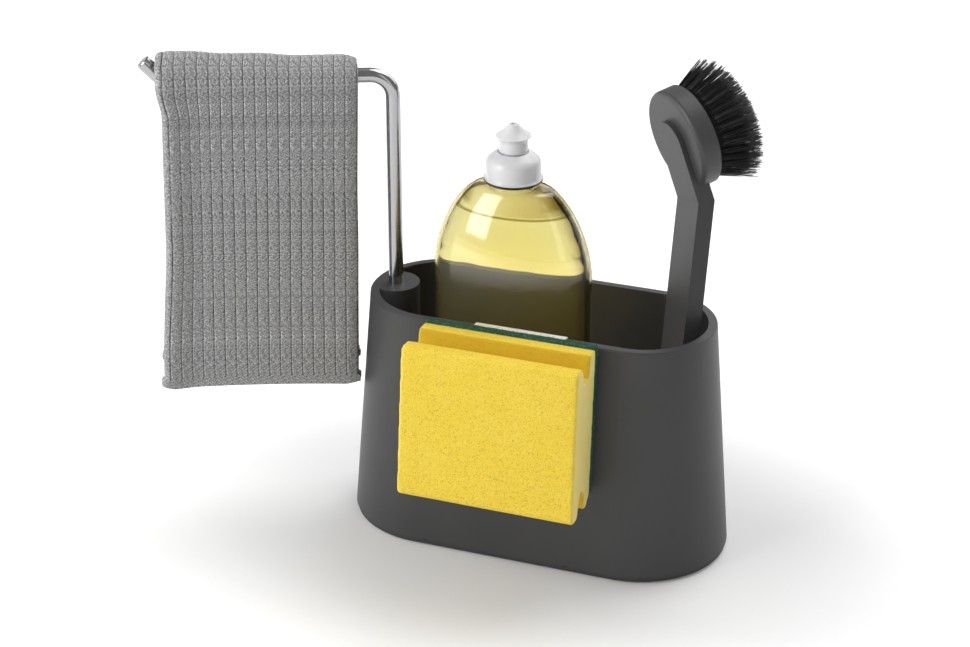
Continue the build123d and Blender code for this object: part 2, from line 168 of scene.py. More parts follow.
class Graph:
    """One material and the nodes in it."""

    def __init__(self, name: str) -> None:
        """Starts an empty material with its output.

        Args:
            name: the material's name.
        """
        self.material = bpy.data.materials.new(name)
        self.material.use_nodes = True
        self.tree = self.material.node_tree
        self.tree.nodes.clear()
        self.output = self.tree.nodes.new("ShaderNodeOutputMaterial")

    def node(
        self, kind: str, settings: dict[str, Any], inputs: dict[Any, Any], out: Any = 0
    ) -> Value:
        """Adds one node.

        Args:
            kind: the node's type.
            settings: attributes that are set first, such as a Math node's operation.
            inputs: values or links by socket name or index.
            out: name or index of the output that is returned.

        Returns:
            The chosen output.
        """
        made = self.tree.nodes.new(kind)
        for key, value in settings.items():
            setattr(made, key, value)
        for key, value in inputs.items():
            socket = made.inputs[key]
            if isinstance(value, Value):
                self.tree.links.new(value.source, socket)
            elif socket.type == "RGBA" and len(value) == 3:
                socket.default_value = (*value, 1.0)
            else:
                socket.default_value = value
        return Value(self, made.outputs[out])

    def place(self, turn: Triple = ORIGIN, scale: Triple = UNIT) -> Value:
        """Object coordinates, turned and scaled.

        Args:
            turn: rotation in radians.
            scale: scale on each axis.

        Returns:
            The vector.
        """
        spot = self.node("ShaderNodeTexCoord", {}, {}, "Object")
        if turn == ORIGIN and scale == UNIT:
            return spot
        turned = self.node("ShaderNodeMapping", {}, {"Vector": spot, "Rotation": turn})
        return self.vector("MULTIPLY", turned, scale)

    def uv(self, scale: Triple = UNIT, turn: Triple = ORIGIN, shift: Triple = ORIGIN) -> Value:
        """The piece's own UV map, scaled, then turned and shifted.

        Args:
            scale: scale on each axis.
            turn: rotation in radians.
            shift: distance moved on each axis.

        Returns:
            The vector.
        """
        flat = self.vector("MULTIPLY", self.node("ShaderNodeTexCoord", {}, {}, "UV"), scale)
        if turn == ORIGIN and shift == ORIGIN:
            return flat
        inputs = {"Vector": flat, "Rotation": turn, "Location": shift}
        return self.node("ShaderNodeMapping", {}, inputs)

    def vector(self, operation: str, first: Any, second: Any = ORIGIN, out: Any = 0) -> Value:
        """A Vector Math node.

        Args:
            operation: the node's operation.
            first: its first vector.
            second: its second vector.
            out: name or index of the output that is returned.

        Returns:
            The chosen output.
        """
        inputs = {0: first, 1: second}
        return self.node("ShaderNodeVectorMath", {"operation": operation}, inputs, out)

    def part(self, vector: Value, axis: str) -> Value:
        """One component of a vector."""
        return self.node("ShaderNodeSeparateXYZ", {}, {"Vector": vector}, axis)

    def grain(
        self, vector: Value, scale: float, detail: float = 3.0, rough: float = 0.55
    ) -> Value:
        """Noise from zero to one.

        Args:
            vector: where it is read.
            scale: cells for each metre.
            detail: octaves.
            rough: strength of the finer octaves.

        Returns:
            The noise.
        """
        inputs = {"Vector": vector, "Scale": scale, "Detail": detail, "Roughness": rough}
        return self.node("ShaderNodeTexNoise", {}, inputs)

    def cells(self, vector: Value, scale: float, out: str = "Distance") -> Value:
        """Voronoi cells."""
        return self.node("ShaderNodeTexVoronoi", {}, {"Vector": vector, "Scale": scale}, out)

    def mix(self, share: Any, low: Any, high: Any) -> Value:
        """Mix of two colours by a share."""
        inputs = {0: share, 6: self.tint(low), 7: self.tint(high)}
        return self.node("ShaderNodeMix", {"data_type": "RGBA"}, inputs, 2)

    def tint(self, colour: Any) -> Any:
        """A colour tuple with its alpha, or a link as it is."""
        return (*colour, 1.0) if isinstance(colour, tuple) else colour

    def bump(self, height: Value, distance: float, strength: float) -> Value:
        """Bump from a height.

        Args:
            height: height from zero to one.
            distance: metres that a height of one stands for.
            strength: strength of the whole.

        Returns:
            The normal.
        """
        inputs = {"Height": height, "Distance": distance, "Strength": strength}
        return self.node("ShaderNodeBump", {}, inputs)

    def principled(self, **inputs: Any) -> None:
        """Adds the surface shader, joined to the output.

        Args:
            inputs: sockets, with _ for a space in their names.
        """
        sockets = {key.replace("_", " "): value for key, value in inputs.items()}
        made = self.node("ShaderNodeBsdfPrincipled", {}, sockets)
        self.tree.links.new(made.source, self.output.inputs["Surface"])


# Finishes ---------------------------------------------------------------------------------------


def toned(colour: Colour, share: float) -> Colour:
    """A colour made darker or lighter by a share."""
    return tuple(c * share for c in colour)


@dataclass(frozen=True)
class Finish:
    """A surface finish, which makes its own material."""

    name: str

    def make(self) -> bpy.types.Material:
        """Builds the material.

        Returns:
            The material.
        """
        graph = Graph(self.name)
        self.fill(graph)
        return graph.material

    def fill(self, g: Graph) -> None:
        """Adds the finish's nodes to an empty material."""
        raise NotImplementedError


@dataclass(frozen=True)
class MouldedPlastic(Finish):
    """Satin or gloss moulded plastic with a fine grain and faint broad unevenness."""

    colour: Colour
    rough: float = 0.42
    grain_size: float = 2600.0
    grain_depth: float = 0.02 * MM
    mottle: float = 0.06
    specular: float = 0.5
    broad_size: float = 22.0
    broad_edge: Span = (0.3, 0.7)
    broad_rough: float = 0.08
    fine_rough: float = 0.05

    def fill(self, g: Graph) -> None:
        """Adds the moulded grain.

        Args:
            g: the empty material.
        """
        spot = g.place()
        fine = g.grain(spot, self.grain_size, 2.0)
        broad = g.grain(spot, self.broad_size, 4.0)
        dark = toned(self.colour, 1 - self.mottle)
        light = toned(self.colour, 1 + self.mottle)
        least = self.rough - (self.broad_rough + self.fine_rough) / 2
        g.principled(
            Base_Color=g.mix(broad.between(*self.broad_edge), dark, light),
            Roughness=broad * self.broad_rough + (fine * self.fine_rough + least),
            Specular_IOR_Level=self.specular,
            Normal=g.bump(fine, self.grain_depth, 0.6),
        )


@dataclass(frozen=True)
class DrawnSteel(Finish):
    """Polished steel bar with fine marks along its length."""

    colour: Colour
    arm_turn: float
    arm_height: float
    marks_across: float = 2600.0
    marks_along: float = 9.0
    mark_shade: float = 0.86
    mark_rough: float = 0.12
    mark_depth: float = 0.006 * MM
    broad_size: float = 60.0
    broad_rough: float = 0.06
    least_rough: float = 0.12

    def fill(self, g: Graph) -> None:
        """Adds the drawn marks.

        Args:
            g: the empty material.
        """
        across, lengthwise = self.marks_across, self.marks_along
        upright = g.grain(g.place(scale=(across, across, lengthwise)), 1.0)
        turn = (0.0, 0.0, -self.arm_turn)
        along = g.grain(g.place(turn=turn, scale=(lengthwise, across, across)), 1.0)
        high = g.part(g.place(), "Z").above(self.arm_height)
        marks = upright + high * (along - upright)
        broad = g.grain(g.place(), self.broad_size) * self.broad_rough
        g.principled(
            Base_Color=g.mix(marks, toned(self.colour, self.mark_shade), self.colour),
            Metallic=1.0,
            Roughness=marks * self.mark_rough + (broad + self.least_rough),
            Normal=g.bump(marks, self.mark_depth, 0.5),
        )


@dataclass(frozen=True)
class RibbedKnit(Finish):
    """Grey melange knit with painted shade in the grooves between its ribs."""

    yarn: Colour
    pale_yarn: Colour
    dark_yarn: Colour
    # Painted shade for the grooves between the ribs.
    groove: Colour
    pitch: float
    hem_width: float
    length: float
    wander: float = 1.4 * MM
    groove_edge: Span = (0.02, 0.125)
    stitch_edge: Span = (0.33, 0.5)
    pale_edge: Span = (0.52, 0.64)
    dark_edge: Span = (0.49, 0.38)
    yarn_share: float = 0.85
    knit_depth: float = 0.4 * MM
    wander_cells: Triple = (40.0, 90.0, 1.0)
    stitch_cells: Triple = (160.0, 420.0, 1.0)
    speck_cells: Triple = (1450.0, 1150.0, 1.0)
    loop_cells: Triple = (900.0, 700.0, 1.0)
    stitch_turn: Triple = (0.4, 0.3, 0.0)
    speck_turn: Triple = (0.5, 0.35, 0.6)
    shift: Triple = (0.3, 0.7, 0.4)

    def fill(self, g: Graph) -> None:
        """Adds the yarns, the stitches and the painted shade in the grooves.

        Args:
            g: the empty material.
        """
        flat = g.uv()
        across, along = g.part(flat, "X"), g.part(flat, "Y")
        wobble = g.grain(g.uv(self.wander_cells), 1.0) * self.wander - self.wander / 2
        phase = (across + wobble) / self.pitch
        away = abs(g.node("ShaderNodeMath", {"operation": "PINGPONG"}, {0: phase, 1: 0.5}))
        loose = g.uv(self.stitch_cells, self.stitch_turn, self.shift)
        stitches = g.grain(loose, 1.0, 2.0).between(*self.stitch_edge)
        in_rib = 1.0 - (1.0 - away.between(*self.groove_edge)) * stitches
        to_end = along.at_most(self.length - along)
        in_field = to_end.between(self.hem_width * 0.9, self.hem_width * 1.1)
        open_rib = 1.0 - (1.0 - in_rib) * in_field
        yarns = g.uv(self.speck_cells, self.speck_turn, self.shift)
        speck = g.grain(yarns, 1.0, 3.0, 0.7)
        loops = g.cells(g.uv(self.loop_cells), 1.0)
        pale, dark = speck.between(*self.pale_edge), speck.between(*self.dark_edge)
        body = g.mix(pale * self.yarn_share, self.yarn, self.pale_yarn)
        body = g.mix(dark * self.yarn_share, body, self.dark_yarn)
        height = speck * 0.5 + (1.0 - loops) * 0.35 + open_rib * 0.8
        g.principled(
            # Painted shade: the grooves between the ribs take the dark groove colour.
            Base_Color=g.mix(open_rib, self.groove, body),
            Roughness=0.93,
            Specular_IOR_Level=0.2,
            Sheen_Weight=0.15,
            Sheen_Roughness=0.6,
            Normal=g.bump(height, self.knit_depth, 0.8),
        )


@dataclass(frozen=True)
class PorousFoam(Finish):
    """Cut foam with fine open pores, scattered darker pits, painted shade on its groove walls and
    painted light on its paler end faces.
    """

    colour: Colour
    pale: Colour
    deep: Colour
    # Painted shade for the groove walls.
    shaded: Colour
    # End faces: their own paler tone, lifted further as painted light.
    cut: Colour
    pore_size: float = 1500.0
    pore_edge: Span = (0.5, 0.36)
    pore_share: float = 0.4
    pit_size: float = 1100.0
    pit_kept: Span = (0.66, 0.84)
    pit_edge: Span = (0.42, 0.16)
    pit_share: float = 0.5
    groove_shade_share: float = 0.72
    end_light_share: float = 0.9
    broad_size: float = 70.0
    broad_edge: Span = (0.3, 0.7)
    depth: float = 0.5 * MM

    def fill(self, g: Graph) -> None:
        """Adds the pores, the painted shade on the groove walls and the end faces, paler in their
        own tone and lifted with painted light.

        Args:
            g: the empty material.
        """
        spot = g.place()
        fine = g.grain(spot, self.pore_size, 3.0, 0.65)
        rare = g.part(g.cells(spot, self.pit_size, "Color"), "X").between(*self.pit_kept)
        pit = g.cells(spot, self.pit_size).between(*self.pit_edge) * rare
        broad = g.grain(spot, self.broad_size).between(*self.broad_edge)
        base = g.mix(broad, self.colour, self.pale)
        base = g.mix(fine.between(*self.pore_edge) * self.pore_share, base, self.deep)
        base = g.mix(pit * self.pit_share, base, self.deep)
        zones = g.node("ShaderNodeAttribute", {"attribute_name": "zones"}, {}, "Color")
        groove = g.node("ShaderNodeSeparateColor", {}, {"Color": zones}, "Red")
        cut_end = g.node("ShaderNodeSeparateColor", {}, {"Color": zones}, "Green")
        # Painted shade: the groove walls are darkened as if in their own shadow.
        base = g.mix(groove * self.groove_shade_share, base, self.shaded)
        # Painted light: the end faces are painted paler than their own tone, standing in for light
        # falling on them.
        base = g.mix(cut_end * self.end_light_share, base, self.cut)
        g.principled(
            Base_Color=base,
            Roughness=0.9,
            Specular_IOR_Level=0.2,
            Subsurface_Weight=0.08,
            Subsurface_Radius=(2.0 * MM, 1.6 * MM, 0.4 * MM),
            Subsurface_Scale=1.0,
            Normal=g.bump(fine * 0.45 - pit, self.depth, 0.7),
        )


@dataclass(frozen=True)
class MattedFibre(Finish):
    """Scouring fibre, dark with paler crossing strands."""

    colour: Colour
    pale: Colour
    thread_size: float = 900.0
    opening_size: float = 760.0
    strand_edge: Span = (0.48, 0.66)
    depth: float = 0.7 * MM

    def fill(self, g: Graph) -> None:
        """Adds the crossing strands.

        Args:
            g: the empty material.
        """
        spot = g.place()
        threads = g.grain(spot, self.thread_size, 4.0, 0.75)
        height = threads * 0.7 + g.cells(spot, self.opening_size) * 0.5
        g.principled(
            Base_Color=g.mix(threads.between(*self.strand_edge), self.colour, self.pale),
            Roughness=0.85,
            Specular_IOR_Level=0.25,
            Normal=g.bump(height, self.depth, 0.9),
        )


@dataclass(frozen=True)
class ClearLiquid(Finish):
    """Clear liquid that takes its tint from its depth."""

    surface: Colour
    ior: float
    density: float
    absorb: Colour

    def fill(self, g: Graph) -> None:
        """Adds the surface and the depth of colour.

        Args:
            g: the empty material.
        """
        g.principled(
            Base_Color=self.surface, Roughness=0.0, IOR=self.ior, Transmission_Weight=1.0
        )
        soak = {"Color": self.absorb, "Density": self.density}
        volume = g.node("ShaderNodeVolumeAbsorption", {}, soak)
        g.tree.links.new(volume.source, g.output.inputs["Volume"])


@dataclass(frozen=True)
class BottleWall(Finish):
    """Clear bottle wall with painted light and shade: olive where seen edge on, darker above the
    liquid, a dark band at the liquid's top, olive low down and a shadow ring under the cap.
    """

    axis_x: float
    liquid_top: float
    tint: Colour = (0.95, 0.93, 0.80)
    # Painted light and painted shade for the air space above the liquid, and painted shade for its
    # patches.
    painted_air_light: Colour = (0.96, 0.93, 0.78)
    painted_air_shade: Colour = (0.66, 0.59, 0.38)
    painted_patch_shade: Colour = (0.40, 0.33, 0.10)
    painted_liquid_line: Colour = (0.34, 0.29, 0.10)
    # Painted shadow under the cap.
    ring: Colour = (0.10, 0.085, 0.03)
    # Painted shade where the wall is seen edge on, lighter on the left and darker on the right.
    painted_edge_shade_left: Colour = (0.70, 0.63, 0.28)
    painted_edge_shade_right: Colour = (0.40, 0.33, 0.12)
    # Painted shade low down.
    low: Colour = (0.95, 0.90, 0.66)
    air_side: Span = (-24.0 * MM, 26.0 * MM)
    edge_side: Span = (-30.0 * MM, 30.0 * MM)
    patch_side: Span = (17.0 * MM, 26.0 * MM)
    patch_bottom: Span = (2.0 * MM, 5.0 * MM)
    patch_top: Span = (11.0 * MM, 16.0 * MM)
    line_bottom: Span = (-0.9 * MM, -0.4 * MM)
    line_top: Span = (0.0, 0.5 * MM)
    air_bottom: Span = (0.4 * MM, 1.2 * MM)
    painted_low_shade_top: Span = (137.0 * MM, 151.0 * MM)
    gloss_bottom: Span = (148.0 * MM, 162.0 * MM)
    neck_shadow_bottom: float = 204.7 * MM
    seen_edge: Span = (0.42, 0.74)

    def fill(self, g: Graph) -> None:
        """Adds the wall, the painted light and shade above the liquid, the painted dark band at
        the liquid's top, the painted shade at the edges and low down, the painted shadow ring at
        the neck and the gloss.

        Args:
            g: the empty material.
        """
        spot = g.place()
        x, height = g.part(spot, "X") - self.axis_x, g.part(spot, "Z")
        rise = height - self.liquid_top
        # Painted light on the left and painted shade on the right of the air space, with patches
        # of painted shade at the dome's sides.
        air = g.mix(x.between(*self.air_side), self.painted_air_light, self.painted_air_shade)
        band = rise.between(*self.patch_bottom) * (1.0 - rise.between(*self.patch_top))
        air = g.mix(abs(x).between(*self.patch_side) * band, air, self.painted_patch_shade)
        colour = g.mix(rise.between(*self.air_bottom), self.tint, air)
        thin = rise.between(*self.line_bottom) * (1.0 - rise.between(*self.line_top))
        # Painted shade: a dark band where the liquid's top refracts.
        colour = g.mix(thin, colour, self.painted_liquid_line)
        # Painted shade: the lower part is tinted olive for the dark tub seen through it.
        colour = g.mix(1.0 - height.between(*self.painted_low_shade_top), colour, self.low)
        # Painted shade where the wall is seen edge on, lighter on the left and darker on the
        # right.
        facing = g.node("ShaderNodeLayerWeight", {}, {"Blend": 0.5}, "Facing")
        edge_on = facing.between(*self.seen_edge)
        edge = g.mix(x.between(*self.edge_side), self.painted_edge_shade_left, self.painted_edge_shade_right)
        colour = g.mix(edge_on, colour, edge)
        # Painted shadow: a dark ring on the flange just under the cap.
        neck = height.between(self.neck_shadow_bottom, self.neck_shadow_bottom + 0.3 * MM)
        g.principled(
            Base_Color=g.mix(neck, colour, self.ring),
            Roughness=0.0,
            IOR=1.06,
            Transmission_Weight=0.982,
            Coat_Weight=(1.0 - edge_on) * height.between(*self.gloss_bottom),
            Coat_Roughness=0.04,
        )


# Geometry help ----------------------------------------------------------------------------------


def mesh_piece(
    name: str, points: Sequence[Vector], faces: Sequence[Sequence[int]]
) -> bpy.types.Object:
    """A smooth-shaded object at the origin from points and faces.

    Args:
        name: the piece's name.
        points: its points, in metres.
        faces: its faces as lists of point numbers.

    Returns:
        The object.
    """
    mesh = bpy.data.meshes.new(name)
    mesh.from_pydata([tuple(p) for p in points], [], [list(f) for f in faces])
    mesh.update()
    mesh.polygons.foreach_set("use_smooth", [True] * len(mesh.polygons))
    piece = bpy.data.objects.new(name, mesh)
    bpy.context.scene.collection.objects.link(piece)
    return piece


def choose(piece: bpy.types.Object) -> None:
    """Makes one piece the only selected and active one.

    Args:
        piece: the piece.
    """
    bpy.ops.object.select_all(action="DESELECT")
    piece.select_set(True)
    bpy.context.view_layer.objects.active = piece


def apply_all(piece: bpy.types.Object) -> None:
    """Applies every modifier of a piece.

    Args:
        piece: the piece.
    """
    choose(piece)
    for modifier in list(piece.modifiers):
        bpy.ops.object.modifier_apply(modifier=modifier.name)


def node_copy(node: bpy.types.Object, name: str) -> bpy.types.Object:
    """A merged copy of a CAD node's mesh, as a new piece.

    Args:
        node: the CAD node's object.
        name: the new piece's name.

    Returns:
        The new piece.
    """
    mesh = node.data.copy()
    mesh.name = name
    mesh.transform(node.matrix_world)
    piece = bpy.data.objects.new(name, mesh)
    bpy.context.scene.collection.objects.link(piece)
    choose(piece)
    bpy.ops.object.mode_set(mode="EDIT")
    bpy.ops.mesh.select_all(action="SELECT")
    bpy.ops.mesh.remove_doubles(threshold=0.01 * MM)
    bpy.ops.object.mode_set(mode="OBJECT")
    return piece


def dress(piece: bpy.types.Object, material: bpy.types.Material) -> None:
    """Gives a piece one material."""
    piece.data.materials.clear()
    piece.data.materials.append(material)


def repaint(node: bpy.types.Object, material: bpy.types.Material) -> None:
    """Puts a material on every slot of a CAD node."""
    for slot in node.material_slots:
        slot.material = material


def add_strand(
    points: list[Vector],
    faces: list[tuple[int, ...]],
    way: Vector,
    centres: Sequence[Vector],
    widths: Sequence[float],
) -> None:
    """Adds one closed three-sided strand.

    Args:
        points: the points so far.
        faces: the faces so far.
        way: the strand's direction at its foot.
        centres: the middles of its rings, from the foot.
        widths: the rings' radii.
    """
    base = len(points)
    side = way.orthogonal().normalized()
    other = way.cross(side)
    for centre, wide in zip(centres, widths):
        for corner in range(3):
            angle = corner * math.tau / 3
            points.append(centre + (side * math.cos(angle) + other * math.sin(angle)) * wide)
    for ring in range(len(centres) - 1):
        for corner in range(3):
            a, b = base + ring * 3 + corner, base + ring * 3 + (corner + 1) % 3
            faces.append((a, b, b + 3, a + 3))
    last = len(points) - 3
    faces.append((last, last + 1, last + 2))
    faces.append((base + 2, base + 1, base))


def read_table(table: Sequence[Span], at: float, outside: float) -> float:
    """Reads a table of places and values, straight between its rows.

    Args:
        table: places, from low to high, and their values.
        at: the place that is read.
        outside: the value before the first and past the last place.

    Returns:
        The value there.
    """
    for (low, first), (high, last) in zip(table, table[1:]):
        if low <= at <= high:
            return first + (last - first) * (at - low) / (high - low)
    return outside


def smoothly(low: float, high: float, at: float) -> float:
    """Smooth step from zero at low to one at high, where low may also be the larger."""
    share = min(max((at - low) / (high - low), 0.0), 1.0)
    return share * share * (3 - 2 * share)


# Pieces -----------------------------------------------------------------------------------------


@dataclass
class Tub:
    """Tub, tray, pad and the fixed pieces of the rod column and the clip."""

    shell: MouldedPlastic = MouldedPlastic("tub_satin", (0.042, 0.042, 0.043), 0.46, specular=0.45)
    tray: MouldedPlastic = MouldedPlastic("tray_satin", (0.030, 0.030, 0.031), 0.5)
    pad: MouldedPlastic = MouldedPlastic("pad_rubber", (0.012, 0.012, 0.012), 0.8, 900, 0.06 * MM)
    bearing: MouldedPlastic = MouldedPlastic("bearing_natural", (0.75, 0.75, 0.72), 0.35)
    clip: MouldedPlastic = MouldedPlastic("clip_gloss", (0.83, 0.84, 0.84), 0.22)
    tape: MouldedPlastic = MouldedPlastic("grip_hooks", (0.68, 0.70, 0.70), 0.8, 1400, 0.2 * MM)

    def build(self, nodes: dict[str, bpy.types.Object]) -> None:
        """Dresses the tub's own nodes.

        Args:
            nodes: the CAD nodes by name.
        """
        finishes = {
            self.shell: ("tub",),
            self.tray: ("base_tray",),
            self.pad: ("foot_pad",),
            self.bearing: ("rod_sleeve", "thrust_pad", "cap_seal"),
            self.clip: ("sponge_clip",),
            self.tape: ("clip_grip_pad",),
        }
        for finish, names in finishes.items():
            material = finish.make()
            for name in names:
                repaint(nodes[name], material)


@dataclass
class TowelRod:
    """The steel rod and its retaining ring."""

    turn: float = ARM_TURN
    arm_height: float = 246.6 * MM
    steel: Colour = (0.46, 0.46, 0.47)
    spring: Colour = (0.4, 0.4, 0.41)

    def build(self, nodes: dict[str, bpy.types.Object]) -> None:
        """Dresses the rod.

        Args:
            nodes: the CAD nodes by name.
        """
        steel = DrawnSteel("rod_polish", self.steel, self.turn, self.arm_height)
        repaint(nodes["towel_rod"], steel.make())
        spring = DrawnSteel("spring_steel", self.spring, self.turn, self.arm_height)
        repaint(nodes["rod_retaining_ring"], spring.make())


class Panel(Enum):
    """Stretches down the hung cloth."""

    FRONT = "front"
    OVER = "over"
    BACK = "back"


@dataclass
class Cloth:
    """Square knit cloth folded twice into a strip and hung over the rod."""

    axis_x: float = -84.7 * MM
    turn: float = math.pi + ARM_TURN
    rod_height: float = 254.6 * MM
    inner_radius: float = 4.6 * MM
    layer: float = 2.2 * MM
    layers: float = 4.0
    start: float = 18.3 * MM
    width: float = 105.2 * MM
    front_bottom: float = 76.2 * MM
    back_bottom: float = 85.6 * MM
    rib_pitch: float = 6.1 * MM
    groove_width: float = 0.5 * MM
    groove_depth: float = 0.55 * MM
    inner_groove: float = 0.4
    thickness: float = 1.75 * MM
    hem: float = 5.0 * MM
    hem_reach: float = 1.5 * MM
    hem_rows: tuple[float, ...] = (0.0, 0.7, 1.8, 3.2, 4.4, 5.0, 5.6, 6.6)
    rib_columns: tuple[float, ...] = (0.0, 0.06, 0.12, 0.2, 0.34, 0.5, 0.66, 0.8, 0.88, 0.94)
    rows_each: float = 4.2 * MM
    over_steps: int = 16
    inner_margin: float = 0.4 * MM
    slant: float = 4.9 * MM
    rod_bend_start: float = 117.7 * MM
    rod_bend_radius: float = 8.0 * MM
    outer_draw: float = 2.9 * MM
    inner_draw: float = 0.9 * MM
    end_puff: float = 2.4 * MM
    shoulder: float = 1.3 * MM
    drift: float = 1.3 * MM
    back_pull: float = 2.4 * MM
    low_spread: float = 0.012
    top_press: float = 2.2 * MM
    top_swell: float = 1.9 * MM
    edge_press: float = 1.5 * MM
    ripple: float = 0.5 * MM
    bottom_bow: float = 1.6 * MM
    corner_lift: float = 1.5 * MM
    puff_across: Span = (0.30, 0.5)
    shoulder_across: Span = (0.44, 0.52)
    drift_waves: Triple = (14.0, 9.0, 3.0)
    drift_place: float = 5.0
    ripple_waves: Span = (30.0, 13.0)
    ripple_place: float = 2.0
    pull_down: Span = (0.0, 0.8)
    spread_down: Span = (0.55, 1.0)
    draw_begins: Span = (0.02, 0.10)
    draw_ends: Span = (0.5, 0.92)
    inner_draw_ends: Span = (0.3, 0.6)
    draw_across: Span = (0.2, 0.5)
    rise_down: Span = (0.0, 0.9)
    corner_across: Span = (0.42, 0.5)
    hem_full_across: float = 0.46
    press_across: Span = (0.02, -0.2)
    swell_across: Span = (0.32, 0.09)
    edge_across: Span = (0.42, 0.52)
    yarn: Colour = (0.30, 0.30, 0.302)
    pale_yarn: Colour = (0.60, 0.60, 0.60)
    dark_yarn: Colour = (0.10, 0.10, 0.102)
    # Painted shade for the grooves between the ribs.
    groove: Colour = (0.055, 0.055, 0.057)

    def columns(self) -> list[tuple[float, float, float]]:
        """The folded cross-section.

        Returns:
            For each column: distance across the flat cloth, on the front face from its rib's
            start, place along the arm from the cloth's middle, and depth inwards in layers.
        """
        half = self.width / 2
        found: list[tuple[float, float, float]] = []
        left = half - self.layer * 1.5
        count = round((half + left) / self.rib_pitch)
        run = (half + left) / count
        for index in range(count):
            for share in self.rib_columns:
                found.append((share * run, (index + share) * run - half, 0.5))
        flat = half + left

        def fold(centre: float, side: int, first: float, last: float, steps: int) -> None:
            """Adds a half turn from one depth to another.

            Args:
                centre: place of the turn's middle across the strip.
                side: 1 where it bulges to the right, -1 to the left.
                first: depth it starts at, in layers.
                last: depth it ends at.
                steps: steps around it.
            """
            nonlocal flat
            radius = abs(last - first) / 2 * self.layer
            for step in range(steps + 1):
                angle = math.pi * step / steps
                depth = (first + last) / 2 + (first - last) / 2 * math.cos(angle)
                place = centre + side * radius * math.sin(angle)
                found.append((flat + radius * angle, place, depth))
            flat += math.pi * radius

        def straight(begin: float, end: float, depth: float, steps: int = 24) -> None:
            """Adds a flat run at one depth.

            Args:
                begin: place where it starts.
                end: place where it ends.
                depth: its depth, in layers.
                steps: steps along it.
            """
            nonlocal flat
            for step in range(1, steps):
                moved = step / steps * (end - begin)
                found.append((flat + abs(moved), begin + moved, depth))
            flat += abs(end - begin)

        small = self.layer * 0.5
        fold(left, 1, 0.5, 3.5, 12)
        straight(left, -half + small, 3.5)
        fold(-half + small, -1, 3.5, 2.5, 6)
        straight(-half + small, left - small, 2.5)
        fold(left - small, 1, 2.5, 1.5, 6)
        straight(left - small, -half + self.inner_margin, 1.5)
        found.append((flat, -half + self.inner_margin, 1.5))
        return found

    def rows(self) -> list[tuple[Panel, float]]:
        """Stretches down the cloth: front panel, over the rod, back panel.

        Returns:
            The panel's name and a height, or an angle over the rod.
        """
        turns = range(self.over_steps + 1)
        over = [(Panel.OVER, math.pi * step / self.over_steps) for step in turns]
        return self.hanging(Panel.FRONT) + over + self.hanging(Panel.BACK)[::-1]

    def hanging(self, panel: Panel) -> list[tuple[Panel, float]]:
        """Rows of one hanging panel.

        Args:
            panel: the front or the back panel.

        Returns:
            The panel's name and a height, from the bottom up.
        """
        hem_top = self.bottom(panel) + self.hem_rows[-1] * MM
        drop = self.rod_height - hem_top
        steps = round(drop / self.rows_each)
        heights = [self.bottom(panel) + edge * MM for edge in self.hem_rows]
        heights += [hem_top + step / steps * drop for step in range(1, steps)]
        return [(panel, height) for height in heights]

    def point(self, panel: Panel, value: float, place: float, depth: float, flat: float) -> Vector:
        """One point of the folded cloth.

        Args:
            panel: the stretch down the cloth.
            value: height, or angle over the rod.
            place: place across the strip, from its middle.
            depth: depth inwards, in layers.
            flat: distance across the flat cloth.

        Returns:
            The point in the row frame.
        """
        share, outer = place / self.width, (self.layers - depth) / self.layers
        radius = self.inner_radius + outer * self.layers * self.layer
        radius += smoothly(*self.puff_across, share) * self.end_puff * outer
        radius -= smoothly(*self.shoulder_across, abs(share)) * self.shoulder * outer
        bottom = self.bottom(panel)
        if panel == Panel.OVER:
            up, out = self.rod_height + radius * math.sin(value), radius * math.cos(value)
            fall, side, hem = 0.0, math.cos(value), 0.0
        else:
            side = 1.0 if panel == Panel.FRONT else -1.0
            up, fall = value, (self.rod_height - value) / (self.rod_height - bottom)
            out = side * radius
            hem = 1.0 - smoothly(self.hem * 0.85, self.hem * 1.15, value - bottom)
        across, down, apart = self.drift_waves
        spot = Vector((place * across, value * down, side * apart + self.drift_place))
        out += noise.noise(spot) * self.drift * fall
        out -= self.back_pull * smoothly(*self.pull_down, fall) * side
        along = self.start + self.width / 2
        along += place * (1.0 + self.low_spread * smoothly(*self.spread_down, fall))
        along += hem * self.hem_reach * max(-1.0, min(1.0, share / self.hem_full_across))
        along += fall * self.slant
        drawn = smoothly(*self.draw_begins, fall) * (1.0 - smoothly(*self.draw_ends, fall))
        along -= self.outer_draw * drawn * smoothly(*self.draw_across, share)
        drawn = 1.0 - smoothly(*self.inner_draw_ends, fall)
        along += self.inner_draw * drawn * smoothly(*self.draw_across, -share)
        up += self.tip_rise(along) * (1.0 - smoothly(*self.rise_down, fall))
        if panel == Panel.OVER:
            up -= self.pressed(share) * outer * math.sin(value)
        else:
            up += (1.0 - (2 * share) ** 2) * self.bottom_bow * fall
            low = 1.0 - min(1.0, (value - bottom) / self.hem)
            up += smoothly(*self.corner_across, abs(share)) * hem * self.corner_lift * low
        across, down = self.ripple_waves
        spot = Vector((flat * across, value * down, self.ripple_place))
        along += noise.noise(spot) * self.ripple * fall
        return self.turned(along, out, up)

    def bottom(self, panel: Panel) -> float:
        """Height of a panel's lower edge."""
        return self.front_bottom if panel == Panel.FRONT else self.back_bottom

    def pressed(self, share: float) -> float:
        """How far the cloth's top lies below a plain arch.

        Args:
            share: place across the strip, as a share of its width.

        Returns:
            The distance in metres.
        """
        middle, reach = self.swell_across
        press = smoothly(*self.press_across, share) * self.top_press
        press -= math.exp(-(((share - middle) / reach) ** 2)) * self.top_swell
        return press + smoothly(*self.edge_across, abs(share)) * self.edge_press

